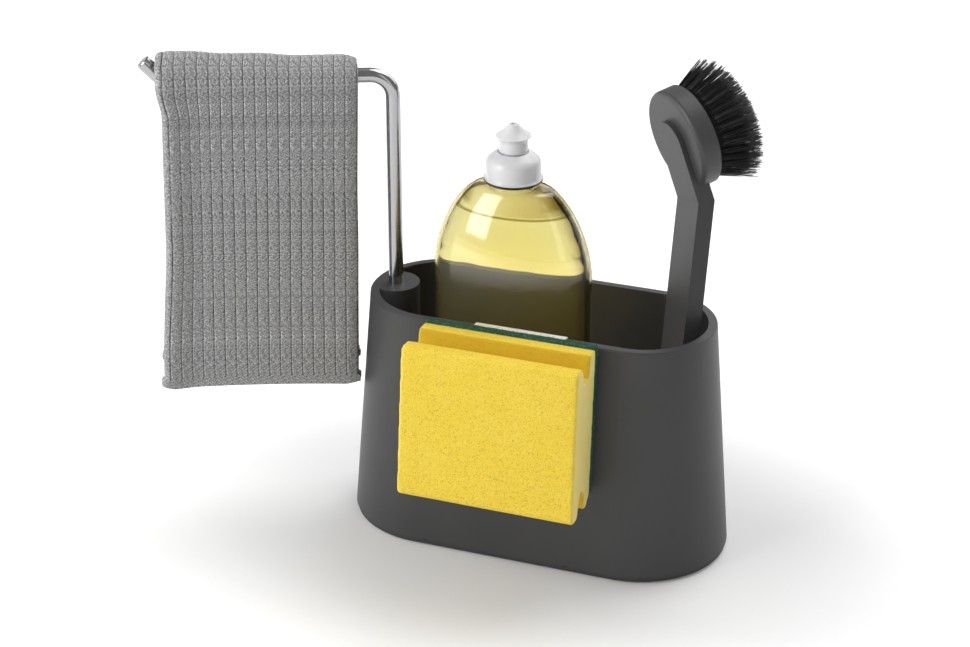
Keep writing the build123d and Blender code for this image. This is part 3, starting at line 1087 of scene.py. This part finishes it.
    def tip_rise(self, along: float) -> float:
        """How far the rod's turned-up tip has risen at a place along the arm."""
        run = min(max(along - self.rod_bend_start, 0.0), self.rod_bend_radius * 0.95)
        return self.rod_bend_radius - math.sqrt(self.rod_bend_radius**2 - run**2)

    def turned(self, along: float, out: float, up: float) -> Vector:
        """A point given along the arm, out from it and up."""
        c, s = math.cos(self.turn), math.sin(self.turn)
        return Vector((self.axis_x + along * c - out * s, along * s + out * c, up))

    def build(self, nodes: dict[str, bpy.types.Object]) -> list[bpy.types.Object]:
        """Makes the cloth.

        Args:
            nodes: the CAD nodes by name; not used.

        Returns:
            The finished pieces.
        """
        columns, rows = self.columns(), self.rows()
        lengths = self.lengths(rows)
        points: list[Vector] = []
        flats: list[tuple[float, float]] = []
        for (panel, value), length in zip(rows, lengths):
            for flat, place, depth in columns:
                points.append(self.point(panel, value, place, depth, flat))
                flats.append((flat, length))
        wide = len(columns)
        faces = []
        for row in range(len(rows) - 1):
            for column in range(wide - 1):
                a = row * wide + column
                faces.append((a, a + 1, a + wide + 1, a + wide))
        cloth = mesh_piece("cloth_sheet", points, faces)
        self.press_ribs(cloth, columns, rows)
        layer = cloth.data.uv_layers.new(name="flat")
        for loop in cloth.data.loops:
            layer.data[loop.index].uv = flats[loop.vertex_index]
        thick = cloth.modifiers.new("thickness", "SOLIDIFY")
        thick.thickness = self.thickness
        thick.offset = 0.0
        thick.use_even_offset = False
        apply_all(cloth)
        knit = RibbedKnit(
            "ribbed_knit",
            self.yarn,
            self.pale_yarn,
            self.dark_yarn,
            self.groove,
            self.pitch_used(),
            self.hem,
            lengths[-1],
        )
        dress(cloth, knit.make())
        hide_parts("cloth")
        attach(cloth, "hanging_cloth")
        return [cloth]

    def pitch_used(self) -> float:
        """Rib pitch that divides the front face evenly."""
        run = self.width - self.layer * 1.5
        return run / round(run / self.rib_pitch)

    def lengths(self, rows: list[tuple[Panel, float]]) -> list[float]:
        """Distance down the flat cloth of each row.

        Args:
            rows: the rows from rows().

        Returns:
            The distances.
        """
        radius = self.inner_radius + self.layers / 2 * self.layer
        found = [0.0]
        for (panel, value), (before, last) in zip(rows[1:], rows):
            if panel == Panel.OVER and before == Panel.OVER:
                step = radius * abs(value - last)
            elif panel == Panel.OVER:
                step = self.rod_height - last
            elif before == Panel.OVER:
                step = self.rod_height - value
            else:
                step = abs(value - last)
            found.append(found[-1] + step)
        return found

    def press_ribs(
        self,
        cloth: bpy.types.Object,
        columns: list[tuple[float, float, float]],
        rows: list[tuple[Panel, float]],
    ) -> None:
        """Presses the grooves between the ribs into the cloth.

        Args:
            cloth: the open sheet.
            columns: its columns.
            rows: its rows.
        """
        pitch = self.pitch_used()
        normals = [v.normal.copy() for v in cloth.data.vertices]
        for index, (vertex, normal) in enumerate(zip(cloth.data.vertices, normals)):
            panel, value = rows[index // len(columns)]
            flat, _, depth = columns[index % len(columns)]
            away = abs((flat / pitch + 0.5) % 1.0 - 0.5) * pitch
            ribbed = 1.0
            if panel != Panel.OVER:
                ribbed = smoothly(self.hem, self.hem * 1.2, value - self.bottom(panel))
            groove = math.exp(-((away / self.groove_width) ** 2)) * self.groove_depth * ribbed
            groove *= self.inner_groove if depth > 1.0 else 1.0
            sign = 1.0 if normal.dot(self.outward(vertex.co, panel)) > 0 else -1.0
            vertex.co -= normal * sign * groove

    def outward(self, spot: Vector, panel: Panel) -> Vector:
        """Direction away from the rod at a point of the cloth.

        Args:
            spot: the point.
            panel: the stretch it lies in.

        Returns:
            The direction, of length one.
        """
        c, s = math.cos(self.turn), math.sin(self.turn)
        front = Vector((-s, c, 0.0))
        if panel == Panel.FRONT:
            return front
        if panel == Panel.BACK:
            return -front
        offset = spot - Vector((self.axis_x, 0.0, self.rod_height))
        along = Vector((c, s, 0.0))
        return (offset - along * offset.dot(along)).normalized()


@dataclass
class Sponge:
    """Foam block and its scouring layer."""

    foam: PorousFoam = PorousFoam(
        "sponge_foam_open",
        colour=(0.90, 0.66, 0.07),
        pale=(0.92, 0.685, 0.085),
        deep=(0.46, 0.27, 0.015),
        # The next colour is the painted shade of the groove walls.
        shaded=(0.60, 0.37, 0.010),
        # The next colour is the end faces' own paler tone, lifted further as painted light.
        cut=(0.98, 0.82, 0.30),
    )
    fibre: MattedFibre = MattedFibre("scour_fibre", (0.018, 0.075, 0.052), (0.075, 0.2, 0.14))
    lean: float = math.radians(4.565)
    voxel: float = 1.1 * MM
    foam_rough: float = 0.06 * MM
    foam_cells: float = 420.0
    scourer_rough: float = 0.3 * MM
    scourer_cells: float = 600.0
    front_drop: float = 2.4 * MM
    front_spread: float = 1.6 * MM
    scourer_rise: float = 1.7 * MM
    rough_finer: float = 2.3
    rough_sink: float = 0.4
    wall_far: Span = (0.06, 0.14)
    wall_near: Span = (0.93, 0.86)
    wall_facing: Span = (0.25, 0.6)
    end_facing: Span = (0.6, 0.9)
    front_deep: Span = (0.45, 0.8)
    drop_up: Span = (0.6, 0.95)
    rise_up: Span = (0.8, 0.97)
    stray_seed: int = 41
    stray_count: int = 900
    stray_reach: Span = (0.5, 1.3)
    stray_radius: float = 0.09 * MM
    stray_lean: float = 0.9
    stray_bend: float = 0.5
    stray_taper: float = 0.7

    def build(self, nodes: dict[str, bpy.types.Object]) -> list[bpy.types.Object]:
        """Makes the foam, the scourer and its stray fibres.

        Args:
            nodes: the CAD nodes by name.

        Returns:
            The finished pieces.
        """
        foam = node_copy(nodes["sponge_foam"], "sponge_block")
        self.soften(foam, self.foam_rough, self.foam_cells)
        self.spread_front(foam)
        dress(foam, self.foam.make())
        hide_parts("sponge_foam")
        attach(foam, "sponge")
        scourer = node_copy(nodes["sponge_scourer"], "scouring_layer")
        self.soften(scourer, self.scourer_rough, self.scourer_cells)
        self.raise_top(scourer)
        green = self.fibre.make()
        dress(scourer, green)
        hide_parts("sponge_scourer")
        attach(scourer, "sponge")
        strays = self.stray_fibres(scourer)
        dress(strays, green)
        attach(strays, "sponge")
        return [foam, scourer, strays]

    def soften(self, piece: bpy.types.Object, depth: float, cells: float) -> None:
        """Rounds a block's cut edges and roughens its faces.

        Args:
            piece: the block.
            depth: depth of the roughness.
            cells: cells of roughness for each metre.
        """
        remesh = piece.modifiers.new("remesh", "REMESH")
        remesh.mode = "VOXEL"
        remesh.voxel_size = self.voxel
        remesh.use_smooth_shade = True
        ease = piece.modifiers.new("ease", "SMOOTH")
        ease.factor = 0.5
        ease.iterations = 1
        apply_all(piece)
        piece.data.update()
        normals = [v.normal.copy() for v in piece.data.vertices]
        for vertex, normal in zip(piece.data.vertices, normals):
            finer = vertex.co * cells * self.rough_finer
            rise = noise.noise(vertex.co * cells) + 0.5 * noise.noise(finer)
            vertex.co += normal * (rise * depth - depth * self.rough_sink)

    def spread_front(self, foam: bpy.types.Object) -> None:
        """Drops and spreads the front half and marks the groove walls for painted shade and the
        end faces for painted light.

        Args:
            foam: the softened block.
        """
        way = Vector((0.0, -math.cos(self.lean), math.sin(self.lean)))
        depths = [v.co.dot(way) for v in foam.data.vertices]
        near, far = max(depths), min(depths)
        low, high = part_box("sponge_foam")
        middle, half = (low[0] + high[0]) / 2, (high[0] - low[0]) / 2
        zones = foam.data.color_attributes.new("zones", "FLOAT_COLOR", "POINT")
        normals = [v.normal.copy() for v in foam.data.vertices]
        for vertex, normal, depth, zone in zip(foam.data.vertices, normals, depths, zones.data):
            share = (depth - far) / (near - far)
            inside = smoothly(*self.wall_far, share) * smoothly(*self.wall_near, share)
            wall = smoothly(*self.wall_facing, abs(normal.dot(way))) * inside
            # Zones: red marks the groove walls for painted shade, green the end faces for painted
            # light.
            zone.color = (wall, smoothly(*self.end_facing, abs(normal.x)), 0.0, 1.0)
            front = smoothly(*self.front_deep, share)
            up = (vertex.co.z - low[2]) / (high[2] - low[2])
            vertex.co.z -= self.front_drop * front * smoothly(*self.drop_up, up)
            side = (vertex.co.x - middle) / half
            vertex.co.x += self.front_spread * front * (side * 0.75 - 0.45) * (1.3 - 0.6 * up)

    def raise_top(self, scourer: bpy.types.Object) -> None:
        """Lifts the scouring layer's top edge a little above the foam.

        Args:
            scourer: the softened layer.
        """
        low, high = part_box("sponge_scourer")
        for vertex in scourer.data.vertices:
            up = (vertex.co.z - low[2]) / (high[2] - low[2])
            vertex.co.z += self.scourer_rise * smoothly(*self.rise_up, up)

    def stray_fibres(self, scourer: bpy.types.Object) -> bpy.types.Object:
        """Short fibres that stand out of the scouring layer.

        Args:
            scourer: the finished layer.

        Returns:
            The fibres as one piece.
        """
        dice = random.Random(self.stray_seed)
        points: list[Vector] = []
        faces: list[tuple[int, ...]] = []
        outer = [f for f in scourer.data.polygons if abs(f.normal.y) < 0.6]

        def any_way() -> Vector:
            """A random direction, not scaled."""
            return Vector((dice.uniform(-1, 1), dice.uniform(-1, 1), dice.uniform(-1, 1)))

        for _ in range(self.stray_count):
            face = outer[dice.randrange(len(outer))]
            way = (face.normal + any_way() * self.stray_lean).normalized()
            bend = any_way() * self.stray_bend
            reach = dice.uniform(*self.stray_reach) * MM
            centres, widths = [], []
            for share in (0.0, 0.5, 1.0):
                centres.append(face.center + way * reach * share + bend * reach * share * share)
                widths.append(self.stray_radius * (1.0 - self.stray_taper * share))
            add_strand(points, faces, way, centres, widths)
        return mesh_piece("scouring_fibres", points, faces)


@dataclass
class Bottle:
    """Clear oval bottle with soap, its white cap and spout."""

    axis_x: float = BOTTLE_X
    wall: BottleWall = BottleWall("bottle_clear", BOTTLE_X, 189.5 * MM)
    soap: ClearLiquid = ClearLiquid(
        "dish_soap_clear", (1.0, 1.0, 0.98), 1.12, 29.0, (0.84, 0.76, 0.02)
    )
    white: MouldedPlastic = MouldedPlastic(
        "cap_gloss", (0.70, 0.70, 0.71), 0.22, 900.0, 0.006 * MM, mottle=0.015
    )
    fullness: tuple[Span, ...] = (
        (140.0, 0.0), (150.0, 0.03), (165.0, 0.055), (181.0, 0.07),
        (194.0, 0.095), (200.2, 0.10), (201.8, 0.0),
    )
    dome: tuple[Span, ...] = (
        (0.0, 1.0), (0.24, 0.985), (0.46, 0.925), (0.66, 0.82),
        (0.81, 0.70), (0.91, 0.59), (1.0, 0.46),
    )
    dome_bottom: float = 134.0 * MM
    dome_height: float = 67.0 * MM
    fill_bottom: float = 155.0 * MM
    fill_top: float = 180.9 * MM
    fill_rise: float = 8.6 * MM
    fill_gap: float = 0.02
    flange: Span = (202.2 * MM, 203.7 * MM)
    flange_rise: float = 2.5 * MM
    wall_crease: float = math.radians(32)
    cap_crease: float = math.radians(40)
    cap_sides: int = 96
    cap_profile: tuple[Span, ...] = (
        (13.6, 206.2), (15.7, 206.2), (15.75, 206.5), (15.2, 206.9), (14.85, 207.5), (14.8, 208.4),
        (14.8, 214.4), (14.6, 215.5), (14.0, 216.7), (12.8, 217.9), (11.2, 219.1), (9.6, 220.2),
        (8.6, 220.8), (8.3, 220.8), (8.2, 220.4), (8.2, 219.4), (5.2, 219.3), (5.2, 228.0),
        (4.9, 228.4), (1.4, 228.4), (1.2, 228.0), (1.2, 214.6), (13.6, 214.4),
    )
    spout_profile: tuple[Span, ...] = (
        (5.6, 221.4), (7.75, 221.4), (7.9, 221.7), (7.75, 223.5), (7.6, 226.0), (7.75, 227.9),
        (8.3, 228.7), (9.1, 229.1), (9.42, 229.4), (9.35, 229.75), (8.6, 230.3), (7.4, 231.15),
        (6.1, 232.2), (4.8, 233.4), (3.6, 234.6), (2.7, 235.6), (2.3, 236.05), (1.9, 236.2),
        (1.45, 236.15), (1.35, 235.6), (1.3, 231.5), (5.6, 229.2),
    )

    def build(self, nodes: dict[str, bpy.types.Object]) -> list[bpy.types.Object]:
        """Makes the bottle's pieces.

        Args:
            nodes: the CAD nodes by name.

        Returns:
            The finished pieces.
        """
        shell = self.fuller(nodes["bottle_shell"], "bottle_body")
        dress(shell, self.wall.make())
        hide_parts("bottle_shell")
        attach(shell, "bottle")
        soap = self.fuller(nodes["dish_soap"], "soap_fill")
        dress(soap, self.soap.make())
        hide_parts("dish_soap")
        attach(soap, "bottle")
        white = self.white.make()
        cap = self.turned("screw_cap", self.cap_profile)
        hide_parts("bottle_cap")
        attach(cap, "cap")
        spout = self.turned("pull_spout", self.spout_profile)
        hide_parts("spout")
        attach(spout, "push_spout")
        for piece in (cap, spout):
            dress(piece, white)
        return [shell, soap, cap, spout]

    def fuller(self, node: bpy.types.Object, name: str) -> bpy.types.Object:
        """A copy of a bottle node with rounder shoulders.

        Args:
            node: the CAD node.
            name: the new piece's name.

        Returns:
            The piece.
        """
        piece = node_copy(node, name)
        for vertex in piece.data.vertices:
            if name == "soap_fill":
                self.lift(vertex)
            elif self.flange[0] < vertex.co.z < self.flange[1]:
                vertex.co.z += self.flange_rise
            wider = 1.0 + read_table(self.fullness, vertex.co.z / MM, 0.0)
            vertex.co.x = self.axis_x + (vertex.co.x - self.axis_x) * wider
        choose(piece)
        bpy.ops.object.shade_smooth_by_angle(angle=self.wall_crease)
        return piece

    def lift(self, vertex: bpy.types.MeshVertex) -> None:
        """Raises a point of the fill's top and draws it in with the narrowing dome.

        Args:
            vertex: the point.
        """
        before = vertex.co.z
        after = before + self.fill_rise * smoothly(self.fill_bottom, self.fill_top, before)
        draw = self.dome_size(after) / self.dome_size(before)
        draw -= self.fill_gap if after > before else 0.0
        vertex.co.x = self.axis_x + (vertex.co.x - self.axis_x) * draw
        vertex.co.y *= draw
        vertex.co.z = after

    def dome_size(self, height: float) -> float:
        """Size of the dome at a height, as a share of the bottle's."""
        return read_table(self.dome, (height - self.dome_bottom) / self.dome_height, 1.0)

    def turned(self, name: str, profile: Sequence[Span]) -> bpy.types.Object:
        """A closed turned piece on the bottle's axis.

        Args:
            name: the piece's name.
            profile: radius and height of each ring, in millimetres, back to the first.

        Returns:
            The piece.
        """
        bpy.ops.object.select_all(action="DESELECT")
        radius, height = profile[0]
        bpy.ops.mesh.primitive_circle_add(
            vertices=self.cap_sides, radius=radius * MM, location=(self.axis_x, 0.0, height * MM)
        )
        piece = bpy.context.object
        piece.name = piece.data.name = name
        bpy.ops.object.transform_apply(location=True, rotation=True, scale=True)
        bpy.ops.object.mode_set(mode="EDIT")
        bpy.ops.mesh.select_all(action="SELECT")
        for wide, high in (*profile[1:], profile[0]):
            raised = {"value": (0.0, 0.0, (high - height) * MM)}
            bpy.ops.mesh.extrude_region_move(TRANSFORM_OT_translate=raised)
            grow, centre = wide / radius, (self.axis_x, 0.0, high * MM)
            bpy.ops.transform.resize(value=(grow, grow, 1.0), center_override=centre)
            radius, height = wide, high
        bpy.ops.mesh.select_all(action="SELECT")
        bpy.ops.mesh.remove_doubles(threshold=0.005 * MM)
        bpy.ops.mesh.normals_make_consistent(inside=False)
        bpy.ops.object.mode_set(mode="OBJECT")
        bpy.ops.object.shade_smooth_by_angle(angle=self.cap_crease)
        return piece


@dataclass
class Brush:
    """Dish brush with a dense field of splayed bristles."""

    bend: Vector = field(default_factory=lambda: Vector((73.5, 36.7, 192.0)) * MM)
    lean: float = math.radians(17.5)
    lean_heading: float = math.radians(92.0)
    heading: float = math.radians(42.2)
    neck_angle: float = math.radians(25.6)
    neck_length: float = 33.8 * MM
    field_start: float = 9.2 * MM
    foot_radius: float = 24.0 * MM
    tip_radius: float = 34.4 * MM
    middle_length: float = 33.2 * MM
    edge_length: float = 21.8 * MM
    tuft_count: int = 210
    per_tuft: int = 16
    strand_radius: float = 0.175 * MM
    rings: int = 4
    foot_scatter: float = 1.1 * MM
    tip_scatter: float = 0.8 * MM
    bow: float = 0.45 * MM
    splay_spread: Span = (0.8, 1.06)
    length_spread: Span = (0.93, 1.02)
    strand_taper: float = 0.25
    tuft_turn: float = math.radians(137.508)
    seed: int = 7
    plastic: MouldedPlastic = MouldedPlastic("brush_satin", (0.051, 0.051, 0.053), 0.46)
    filament: MouldedPlastic = MouldedPlastic(
        "bristle_black", (0.013, 0.012, 0.013), 0.38, 900.0, 0.01 * MM, 0.2
    )

    def head(self) -> Matrix:
        """Frame of the brush's head: +Z along the bristles."""
        lean = Matrix.Rotation(self.lean_heading, 4, "Z") @ Matrix.Rotation(self.lean, 4, "Y")
        frame = Matrix.Translation(self.bend) @ lean
        frame = frame @ Matrix.Rotation(self.heading - self.lean_heading, 4, "Z")
        frame = frame @ Matrix.Rotation(-self.neck_angle, 4, "Y")
        frame = frame @ Matrix.Translation((0.0, 0.0, self.neck_length))
        return frame @ Matrix.Rotation(math.radians(90), 4, "Y")

    def build(self, nodes: dict[str, bpy.types.Object]) -> list[bpy.types.Object]:
        """Makes the bristles and dresses the handle.

        Args:
            nodes: the CAD nodes by name.

        Returns:
            The finished pieces.
        """
        repaint(nodes["brush_handle"], self.plastic.make())
        black = self.filament.make()
        repaint(nodes["tuft_plate"], black)
        bristles = self.bristles()
        dress(bristles, black)
        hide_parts("brush_bristles")
        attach(bristles, "brush")
        return [bristles]

    def bristles(self) -> bpy.types.Object:
        """The bristle field as one piece.

        Returns:
            The piece.
        """
        dice = random.Random(self.seed)
        frame = self.head()
        points: list[Vector] = []
        faces: list[tuple[int, ...]] = []
        for tuft in range(self.tuft_count):
            share = math.sqrt((tuft + 0.5) / self.tuft_count)
            turn = tuft * self.tuft_turn
            middle = Vector((math.cos(turn), math.sin(turn), 0.0))
            for _ in range(self.per_tuft):
                nudge = dice.uniform(0.0, 1.0) * self.foot_scatter
                angle = dice.uniform(0.0, math.tau)
                foot = middle * self.foot_radius * share
                foot += Vector((math.cos(angle), math.sin(angle), 0.0)) * nudge
                splay = (self.tip_radius - self.foot_radius) * share
                splay *= dice.uniform(*self.splay_spread)
                stray = Vector((dice.gauss(0, 1), dice.gauss(0, 1), 0.0)) * self.tip_scatter
                length = self.middle_length - (self.middle_length - self.edge_length) * share**2
                length *= dice.uniform(*self.length_spread)
                tip = foot + middle * splay + stray + Vector((0.0, 0.0, length))
                self.strand(points, faces, foot, tip, dice)
        bristles = mesh_piece("bristle_field", points, faces)
        bristles.data.transform(frame)
        return bristles

    def strand(
        self,
        points: list[Vector],
        faces: list[tuple[int, ...]],
        foot: Vector,
        tip: Vector,
        dice: random.Random,
    ) -> None:
        """Adds one bristle.

        Args:
            points: the points so far.
            faces: the faces so far.
            foot: the strand's foot in the head's frame.
            tip: its tip.
            dice: the seeded random source.
        """
        bow = Vector((dice.uniform(-1, 1), dice.uniform(-1, 1), 0.0)) * self.bow
        up = Vector((0.0, 0.0, self.field_start))
        centres, widths = [], []
        for ring in range(self.rings):
            share = ring / (self.rings - 1)
            centres.append(up + foot.lerp(tip, share) + bow * math.sin(math.pi * share))
            widths.append(self.strand_radius * (1.0 - self.strand_taper * share))
        add_strand(points, faces, (tip - foot).normalized(), centres, widths)


@dataclass(frozen=True)
class Softbox:
    """A rectangular lamp: where it hangs, its size in metres and its power in watts."""

    name: str
    place: Triple
    wide: float
    high: float
    watts: float
    casts: bool = True


@dataclass
class Studio:
    """Floor, lamps, world and camera."""

    target: Vector = field(default_factory=lambda: Vector((-32.66, 0.0, 116.81)) * MM)
    azimuth: float = 20.22
    elevation: float = 26.24
    distance: float = 1326.4 * MM
    lens: float = 90.0
    sensor: float = 36.0
    world_light: float = 0.26
    floor_size: float = 9.0
    # The glow fields below shape a painted shadow on the floor around the caddy.
    painted_shadow_middle: Triple = (-6.0 * MM, -8.0 * MM, 0.0)
    painted_shadow_reach: Span = (125.0 * MM, 78.0 * MM)
    near_edge: Span = (1.1, 2.4)
    near_glow: float = 0.31
    far_edge: Span = (6.0, 16.0)
    far_glow: float = 0.5
    least_glow: float = 0.03
    softboxes: tuple[Softbox, ...] = (
        Softbox("key_front_left", (-1.1, -1.1, 0.9), 0.9, 1.5, 10.0),
        Softbox("fill_front_left", (-1.15, -1.15, 0.95), 0.9, 1.5, 15.5, casts=False),
        Softbox("back_right", (0.45, 1.5, 0.85), 2.0, 0.9, 10.0),
        Softbox("overhead_back", (0.4, 0.75, 1.55), 1.1, 1.1, 14.0),
        Softbox("strip_left", (-1.4, 0.0, 0.6), 0.4, 1.1, 4.0),
        Softbox("strip_right", (1.2, -0.8, 0.75), 0.35, 1.3, 1.4),
    )

    def build(self) -> None:
        """Makes everything that isn't part of the caddy."""
        self.floor()
        for softbox in self.softboxes:
            self.lamp(softbox)
        self.world()
        self.camera()

    def floor(self) -> None:
        """The pale floor, white to the camera, holding the cast shadow and a painted shadow where
        its glow is lowered around the caddy.
        """
        bpy.ops.object.select_all(action="DESELECT")
        bpy.ops.mesh.primitive_plane_add(size=self.floor_size, location=ORIGIN)
        plane = bpy.context.object
        plane.name = "floor"
        g = Graph("floor_white")
        rays = ("Is Camera Ray", "Is Glossy Ray", "Is Transmission Ray")
        camera, glossy, through = (g.node("ShaderNodeLightPath", {}, {}, ray) for ray in rays)
        seen = camera.at_least(glossy).at_least(through)
        # Painted shadow: the floor glows least near the caddy, centred a little to the front left,
        # and whiter further out.
        wide, deep = self.painted_shadow_reach
        spot = g.vector("SUBTRACT", g.place(), self.painted_shadow_middle)
        spot = g.vector("MULTIPLY", spot, (1 / wide, 1 / deep, 1.0))
        away = g.vector("LENGTH", spot, out="Value")
        near = away.between(*self.near_edge) * self.near_glow
        far = away.between(*self.far_edge) * self.far_glow
        light = seen * (near + far + self.least_glow)
        level = g.node("ShaderNodeCombineXYZ", {}, {0: light, 1: light, 2: light})
        g.principled(
            Base_Color=(0.8, 0.8, 0.8),
            Roughness=0.9,
            Specular_IOR_Level=0.1,
            Emission_Color=level,
            Emission_Strength=1.0,
        )
        dress(plane, g.material)

    def lamp(self, softbox: Softbox) -> None:
        """Hangs one softbox, aimed at the caddy.

        Args:
            softbox: the lamp.
        """
        light = bpy.data.lights.new(softbox.name, "AREA")
        light.shape = "RECTANGLE"
        light.size, light.size_y = softbox.wide, softbox.high
        light.energy, light.use_shadow = softbox.watts, softbox.casts
        lamp = bpy.data.objects.new(softbox.name, light)
        lamp.location = softbox.place
        aim = self.target - Vector(softbox.place)
        lamp.rotation_euler = aim.to_track_quat("-Z", "Y").to_euler()
        bpy.context.scene.collection.objects.link(lamp)

    def world(self) -> None:
        """White where it is seen, with a softer level for the light it gives."""
        world = bpy.data.worlds.new("studio")
        bpy.context.scene.world = world
        world.use_nodes = True
        tree = world.node_tree
        tree.nodes.clear()
        path = tree.nodes.new("ShaderNodeLightPath")
        seen = tree.nodes.new("ShaderNodeMath")
        seen.operation = "MAXIMUM"
        for index, ray in enumerate(("Is Camera Ray", "Is Transmission Ray")):
            tree.links.new(path.outputs[ray], seen.inputs[index])
        strength = tree.nodes.new("ShaderNodeMapRange")
        strength.inputs["To Min"].default_value = self.world_light
        strength.inputs["To Max"].default_value = 1.0
        tree.links.new(seen.outputs[0], strength.inputs["Value"])
        back = tree.nodes.new("ShaderNodeBackground")
        back.inputs["Color"].default_value = (1.0, 1.0, 1.0, 1.0)
        tree.links.new(strength.outputs[0], back.inputs["Strength"])
        out = tree.nodes.new("ShaderNodeOutputWorld")
        tree.links.new(back.outputs[0], out.inputs["Surface"])

    def camera(self) -> None:
        """The camera at the photograph's angle."""
        azimuth, elevation = math.radians(self.azimuth), math.radians(self.elevation)
        level = math.cos(elevation)
        back = Vector(
            (math.sin(azimuth) * level, -math.cos(azimuth) * level, math.sin(elevation))
        )
        data = bpy.data.cameras.new("camera")
        data.lens, data.sensor_width, data.sensor_fit = self.lens, self.sensor, "HORIZONTAL"
        camera = bpy.data.objects.new("camera", data)
        camera.location = self.target + back * self.distance
        camera.rotation_euler = (-back).to_track_quat("-Z", "Y").to_euler()
        bpy.context.scene.collection.objects.link(camera)
        bpy.context.scene.camera = camera
        bpy.context.scene.view_settings.view_transform = "Standard"


def main() -> None:
    """Builds every sub-assembly."""
    logging.basicConfig(level=logging.INFO, format="%(name)s: %(message)s")
    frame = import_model()
    nodes = frame["nodes"]
    Studio().build()
    Tub().build(nodes)
    TowelRod().build(nodes)
    made = Cloth().build(nodes) + Sponge().build(nodes)
    made += Bottle().build(nodes)
    made += Brush().build(nodes)
    for piece in made:
        log.info("%s: %d faces", piece.name, len(piece.data.polygons))


if __name__ == "__main__":
    main()
